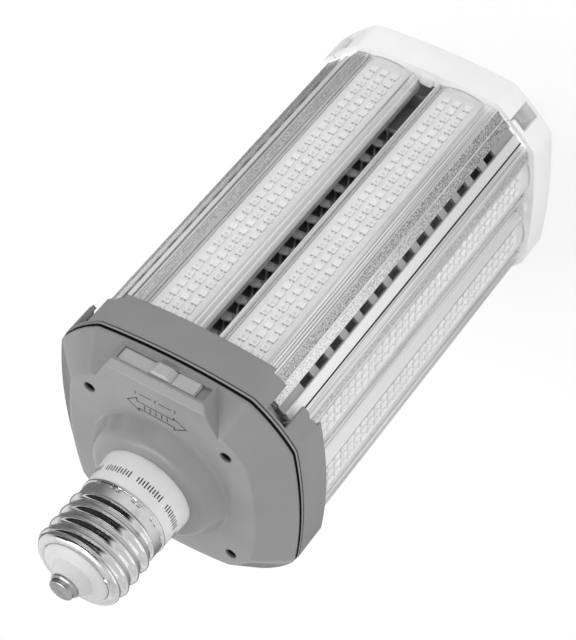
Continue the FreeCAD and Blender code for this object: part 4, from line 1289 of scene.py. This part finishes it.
@dataclass
class Studio:
    """Camera, pale floor, soft lamps and the flags that shape reflections. Turns and tilts are in degrees."""

    eye: Point = (-0.3330, -0.7048, 0.6191)
    right: Point = (-0.83852, 0.01204, -0.54473)
    up: Point = (0.40852, -0.64765, -0.64317)
    ahead: Point = (0.36054, 0.76185, -0.53815)
    lens: float = 127.8
    sensor_mm: float = 36.0
    near: float = 0.01
    ambient: float = 0.60
    lamps: tuple[SoftLamp, ...] = (
        SoftLamp("key", (0.95, -0.1, 2.75), (0.0, 0.0, 0.15), 2.4, 53.0),
        SoftLamp("side", (-2.0, 0.3, 0.50), (0.0, 0.0, 0.10), 1.5, 13.0),
        SoftLamp("fill", (-0.3, -2.1, 0.95), (0.0, 0.0, 0.12), 1.6, 9.0),
    )
    floor_half: float = 6.0
    floor_bright_turn: float = 215.0
    flag_reach: float = 1.3
    flag_level: float = 0.25
    flag_steps: int = 24
    flag_dark_turn: float = 292.0
    black_turn: Span = (205.0, 385.0)
    black_tilts: tuple[Span, ...] = ((-20.0, -9.0), (-1.0, 9.0), (12.5, 22.0), (27.0, 60.0))
    grey_bars: tuple[tuple[Span, Span], ...] = (
        ((60.0, 205.0), (8.0, 24.0)), ((60.0, 205.0), (27.0, 60.0)), ((40.0, 205.0), (-12.0, 2.0)))

    def camera(self) -> None:
        """The camera at the photograph's place."""
        data = bpy.data.cameras.new("camera")
        data.lens = self.lens
        data.sensor_width = self.sensor_mm
        data.clip_start = self.near
        camera = put("camera", data)
        columns = (Vector(self.right), Vector(self.up), -Vector(self.ahead))
        turn = Matrix([[column[i] for column in columns] for i in range(3)]).to_4x4()
        camera.matrix_world = Matrix.Translation(Vector(self.eye)) @ turn
        bpy.context.scene.camera = camera

    def world(self) -> None:
        """White to the camera, to gloss and to glass, and a plain level of light elsewhere."""
        sheet = NodeSheet("studio", world=True)
        camera, shiny = sheet.rays()
        strength = camera.larger(shiny) * (1.0 - self.ambient) + self.ambient
        sky = sheet.add("ShaderNodeBackground", None, {"Color": grey(1.0), "Strength": strength})
        sheet.add("ShaderNodeOutputWorld", None, {"Surface": sky.outputs[0]})
        bpy.context.scene.world = sheet.owner

    @staticmethod
    def facing(x: Signal, y: Signal, turn: float) -> Signal:
        """How far a place lies towards a side: 1 there, -1 opposite.

        Args:
            x, y: the place.
            turn: the side, as an angle round the axis.

        Returns:
            The share.
        """
        side = math.radians(turn)
        return (x * math.cos(side) + y * math.sin(side)) / x.reach(y).larger(0.02)

    def floor(self) -> None:
        """Pale floor that keeps the lamp's shadow. Gloss sees it shaded near the lamp and on one side."""
        sheet = NodeSheet("pale floor")
        paint = sheet.blend(sheet.noise(sheet.place(), 400.0), grey(0.86), grey(0.90))
        matt = sheet.add("ShaderNodeBsdfDiffuse", None, {"Color": paint}).outputs[0]
        camera, shiny = sheet.rays()
        x, y, _ = sheet.split(sheet.place())
        off = x.reach(y)
        side = self.facing(x, y, self.floor_bright_turn)
        light = side.ease(-0.6, 0.8, 0.22, 0.88) * off.ease(0.03, 0.34, 0.6, 1.0)
        seen = sheet.mix(camera * off.ease(0.4, 2.0, 0.72, 1.0), matt, sheet.glow(grey(1.0)))
        gloss = sheet.glow(sheet.blend(light, grey(0.0), grey(1.0)))
        mesh = bpy.data.meshes.new("floor")
        half = self.floor_half
        mesh.from_pydata([(-half, -half, 0), (half, -half, 0), (half, half, 0), (-half, half, 0)], [],
                         [(0, 1, 2, 3)])
        mesh.materials.append(sheet.close(sheet.mix(shiny, seen, gloss)))
        floor = put("floor", mesh)

    def black_cloth(self) -> bpy.types.Material:
        """Black cloth, paler towards the ends of its bars."""
        sheet = NodeSheet("black flag")
        x, y, _ = sheet.split(sheet.place())
        cloth = sheet.noise(sheet.place(), 60.0) * 0.02
        level = self.facing(x, y, self.flag_dark_turn).ease(0.08, 0.46, 0.88, 0.01) + cloth
        return sheet.close(sheet.glow(sheet.blend(level, grey(0.0), grey(1.0))))

    @staticmethod
    def grey_cloth() -> bpy.types.Material:
        """Pale grey cloth."""
        sheet = NodeSheet("grey flag")
        return sheet.close(sheet.glow(sheet.blend(sheet.noise(sheet.place(), 60.0), grey(0.72), grey(0.84))))

    def flags(self) -> None:
        """Black and grey flags, seen by gloss alone, that give bright metal its streaks."""
        cloths = [self.black_cloth(), self.grey_cloth()]
        bars = [(self.black_turn, tilts, 0) for tilts in self.black_tilts]
        bars += [(turn, tilts, 1) for turn, tilts in self.grey_bars]
        points, faces, tints = [], [], []
        for (start, end), tilts, tint in bars:
            for i in range(self.flag_steps + 1):
                angle = math.radians(start + (end - start) * i / self.flag_steps)
                for rise in map(math.radians, tilts):
                    level = self.flag_reach * math.cos(rise)
                    points.append((level * math.cos(angle), level * math.sin(angle),
                                   self.flag_level + self.flag_reach * math.sin(rise)))
                if i:
                    n = len(points)
                    faces.append((n - 4, n - 2, n - 1, n - 3))
                    tints.append(tint)
        mesh = bpy.data.meshes.new("flags")
        mesh.from_pydata(points, [], faces)
        for cloth in cloths:
            mesh.materials.append(cloth)
        for polygon, tint in zip(mesh.polygons, tints):
            polygon.material_index = tint
        flags = put("flags", mesh)
        for ray in ("camera", "diffuse", "transmission", "volume_scatter", "shadow"):
            setattr(flags, "visible_" + ray, False)

    def build(self) -> None:
        """The whole studio."""
        self.camera()
        self.world()
        self.floor()
        self.flags()
        for lamp in self.lamps:
            lamp.hang()
        bpy.context.scene.view_settings.view_transform = "Standard"


def main() -> None:
    """Builds the lamp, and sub-assembly by sub-assembly."""
    logging.basicConfig(level=logging.INFO, format="%(name)s: %(message)s")
    Studio().build()
    for part in (ScrewBase(), Cover(), Selector(), LightSides(), Core(), EndCap()):
        log.info("building %s", type(part).__name__)
        part.build()


if __name__ == "__main__":
    main()
